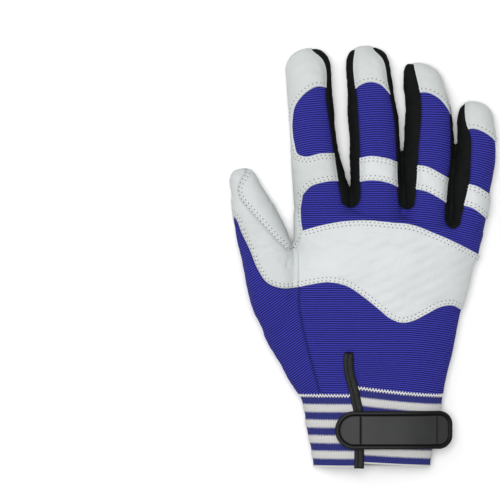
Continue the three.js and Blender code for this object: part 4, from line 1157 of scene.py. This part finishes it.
def stitch_tree():
    """Stitches along lines: a thread over each span and a flat dark disc, the painted shade of the needle's
    hole, at each end of it.
    """
    tree = bpy.data.node_groups.new("stitches", "GeometryNodeTree")
    face = tree.interface
    face.new_socket("Lines", in_out="INPUT", socket_type="NodeSocketGeometry")
    for name, value in STITCH_SIZES.items():
        face.new_socket(name, in_out="INPUT", socket_type="NodeSocketFloat").default_value = value
    for name in ("Thread", "Dark"):
        face.new_socket(name, in_out="INPUT", socket_type="NodeSocketMaterial")
    face.new_socket("Stitches", in_out="OUTPUT", socket_type="NodeSocketGeometry")
    given = tree.nodes.new("NodeGroupInput").outputs
    curve = add(tree, "GeometryNodeMeshToCurve", {"Mesh": given["Lines"]}).outputs["Curve"]
    even = add(tree, "GeometryNodeResampleCurve", {"Curve": curve, "Length": given["Spacing"]}, mode="LENGTH")
    up = add(tree, "GeometryNodeInputNamedAttribute", {"Name": "up"}, data_type="FLOAT_VECTOR")
    ahead = add(tree, "GeometryNodeInputTangent").outputs["Tangent"]
    along = add(tree, "FunctionNodeAlignRotationToVector", {"Vector": ahead}, axis="X")
    facing = add(tree, "FunctionNodeAlignRotationToVector",
                 {"Rotation": along.outputs["Rotation"], "Vector": up.outputs["Attribute"]},
                 axis="Z", pivot_axis="X").outputs["Rotation"]
    index = add(tree, "GeometryNodeInputIndex").outputs["Index"]
    sign = calc(tree, "MULTIPLY_ADD", calc(tree, "MODULO", index, 2.0), 2.0, -1.0)
    lean = calc(tree, "MULTIPLY", sign, given["Slant"])
    lean = add(tree, "ShaderNodeCombineXYZ", {"Z": lean}).outputs[0]
    lean = add(tree, "FunctionNodeEulerToRotation", {"Euler": lean}).outputs["Rotation"]
    facing = add(tree, "FunctionNodeRotateRotation", {"Rotation": facing, "Rotate By": lean},
                 rotation_space="LOCAL").outputs["Rotation"]
    parts = []
    # Half its length as a share of Length or Hole, its width, its height as a share of that, and its place
    for long, share, wide, high, shift, material in (("Length", 0.5, "Radius", 0.8, 0.0, "Thread"),
                                                     ("Hole", 1.35, "Hole", 0.25, 0.5, "Dark")):
        ball = add(tree, "GeometryNodeMeshUVSphere", {"Segments": 8, "Rings": 5, "Radius": 1.0}).outputs[0]
        wide = given[wide]
        reach = calc(tree, "MULTIPLY", given[long], share)
        thick = calc(tree, "MULTIPLY", wide, high)
        size = add(tree, "ShaderNodeCombineXYZ", {"X": reach, "Y": wide, "Z": thick}).outputs[0]
        shaped = add(tree, "GeometryNodeTransform", {"Geometry": ball, "Scale": size}).outputs["Geometry"]
        smooth_ball = add(tree, "GeometryNodeSetShadeSmooth", {"Geometry": shaped}).outputs["Geometry"]
        offset = calc(tree, "MULTIPLY", given["Spacing"], shift)
        moved = add(tree, "ShaderNodeVectorMath", {0: ahead, "Scale": offset}, operation="SCALE").outputs[0]
        placed = add(tree, "GeometryNodeSetPosition", {"Geometry": even.outputs["Curve"], "Offset": moved})
        spread = add(tree, "GeometryNodeInstanceOnPoints", {"Points": placed.outputs["Geometry"],
                     "Instance": smooth_ball, "Rotation": facing}).outputs["Instances"]
        real = add(tree, "GeometryNodeRealizeInstances", {"Geometry": spread}).outputs["Geometry"]
        parts.append(add(tree, "GeometryNodeSetMaterial", {"Geometry": real, "Material": given[material]}))
    whole = add(tree, "GeometryNodeJoinGeometry")
    for part in parts:
        tree.links.new(part.outputs["Geometry"], whole.inputs[0])
    add(tree, "NodeGroupOutput", {"Stitches": whole.outputs["Geometry"]})
    return tree


thread, tree, shader, spot = finish_named("white_thread")
white = blend(tree, noise(tree, spot, 2500.0), (0.6, 0.6, 0.58, 1), (0.8, 0.8, 0.78, 1))
dress(tree, shader, white, 0.7)
# Each needle hole is a flat dark disc: painted shade.
hole_shade_disc, tree, shader, spot = finish_named("needle_hole_painted_shade")
dark = blend(tree, noise(tree, spot, 900.0), (0.015, 0.02, 0.018, 1), (0.1, 0.115, 0.11, 1))
dress(tree, shader, dark, 0.9)


def stitched(name, lines, tree, **sizes):
    """The lines sewn with the tree's stitches, as one plain piece."""
    points = np.concatenate(lines)
    pairs, start = [], 0
    for line in lines:
        pairs += [(start + i, start + i + 1) for i in range(len(line) - 1)]
        start += len(line)
    guide = bpy.data.meshes.new(name)
    guide.from_pydata([tuple(p) for p in metres(points[:, :3] + 0.05 * points[:, 3:])], pairs, [])
    up = guide.attributes.new("up", "FLOAT_VECTOR", "POINT")
    up.data.foreach_set("vector", points[:, 3:].astype(np.float32).ravel())
    piece = linked(name, guide)
    sewing = piece.modifiers.new("sewing", "NODES")
    sewing.node_group = tree
    names = {item.name: item.identifier for item in tree.interface.items_tree if item.in_out == "INPUT"}
    for key, value in {"Thread": thread, "Dark": hole_shade_disc, **sizes}.items():
        sewing[names[key]] = value
    done = bpy.data.meshes.new_from_object(piece.evaluated_get(bpy.context.evaluated_depsgraph_get()))
    piece.modifiers.clear()
    # on the palm side the thread is pressed flat by the table
    spots = numbers(done.vertices, "co", 3)
    spots[:, 2] = np.maximum(spots[:, 2], LEAST_THREAD_HEIGHT)
    done.vertices.foreach_set("co", spots.ravel())
    piece.data = done
    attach(piece, "root")


stitching = stitch_tree()
stitched("topstitching", stitch_lines, stitching)

# Wrist seam: a white overlock zigzag all round, where the hand is sewn to the cuff. On the back it stops at
# the slit.
ZIGZAG_LIFT = 1.2
ZIGZAG_SIZES = {"Spacing": 0.00088, "Length": 0.0033, "Radius": 0.0004, "Hole": 0.0001, "Slant": 1.0}
zigzag_lines = []
met = [surfaces[key + "_sewn"] for key in ("back_knit", "palm_leather", "thumb_gusset")]
met.append(surfaces["wrist_cuff_knitted"])
for start, stop, side in ((-56, -23.6, 1), (-19.4, 35, 1), (-56, 35, -1)):
    x = np.linspace(start, stop, 120)
    level = np.column_stack([x, np.zeros(len(x)), np.full(len(x), 20.0 * side)])
    zigzag_lines.extend(laid(np.column_stack([x, cuff_seam(level) + ZIGZAG_LIFT]), met, side))
stitched("wrist_overlock", zigzag_lines, stitching, **ZIGZAG_SIZES)
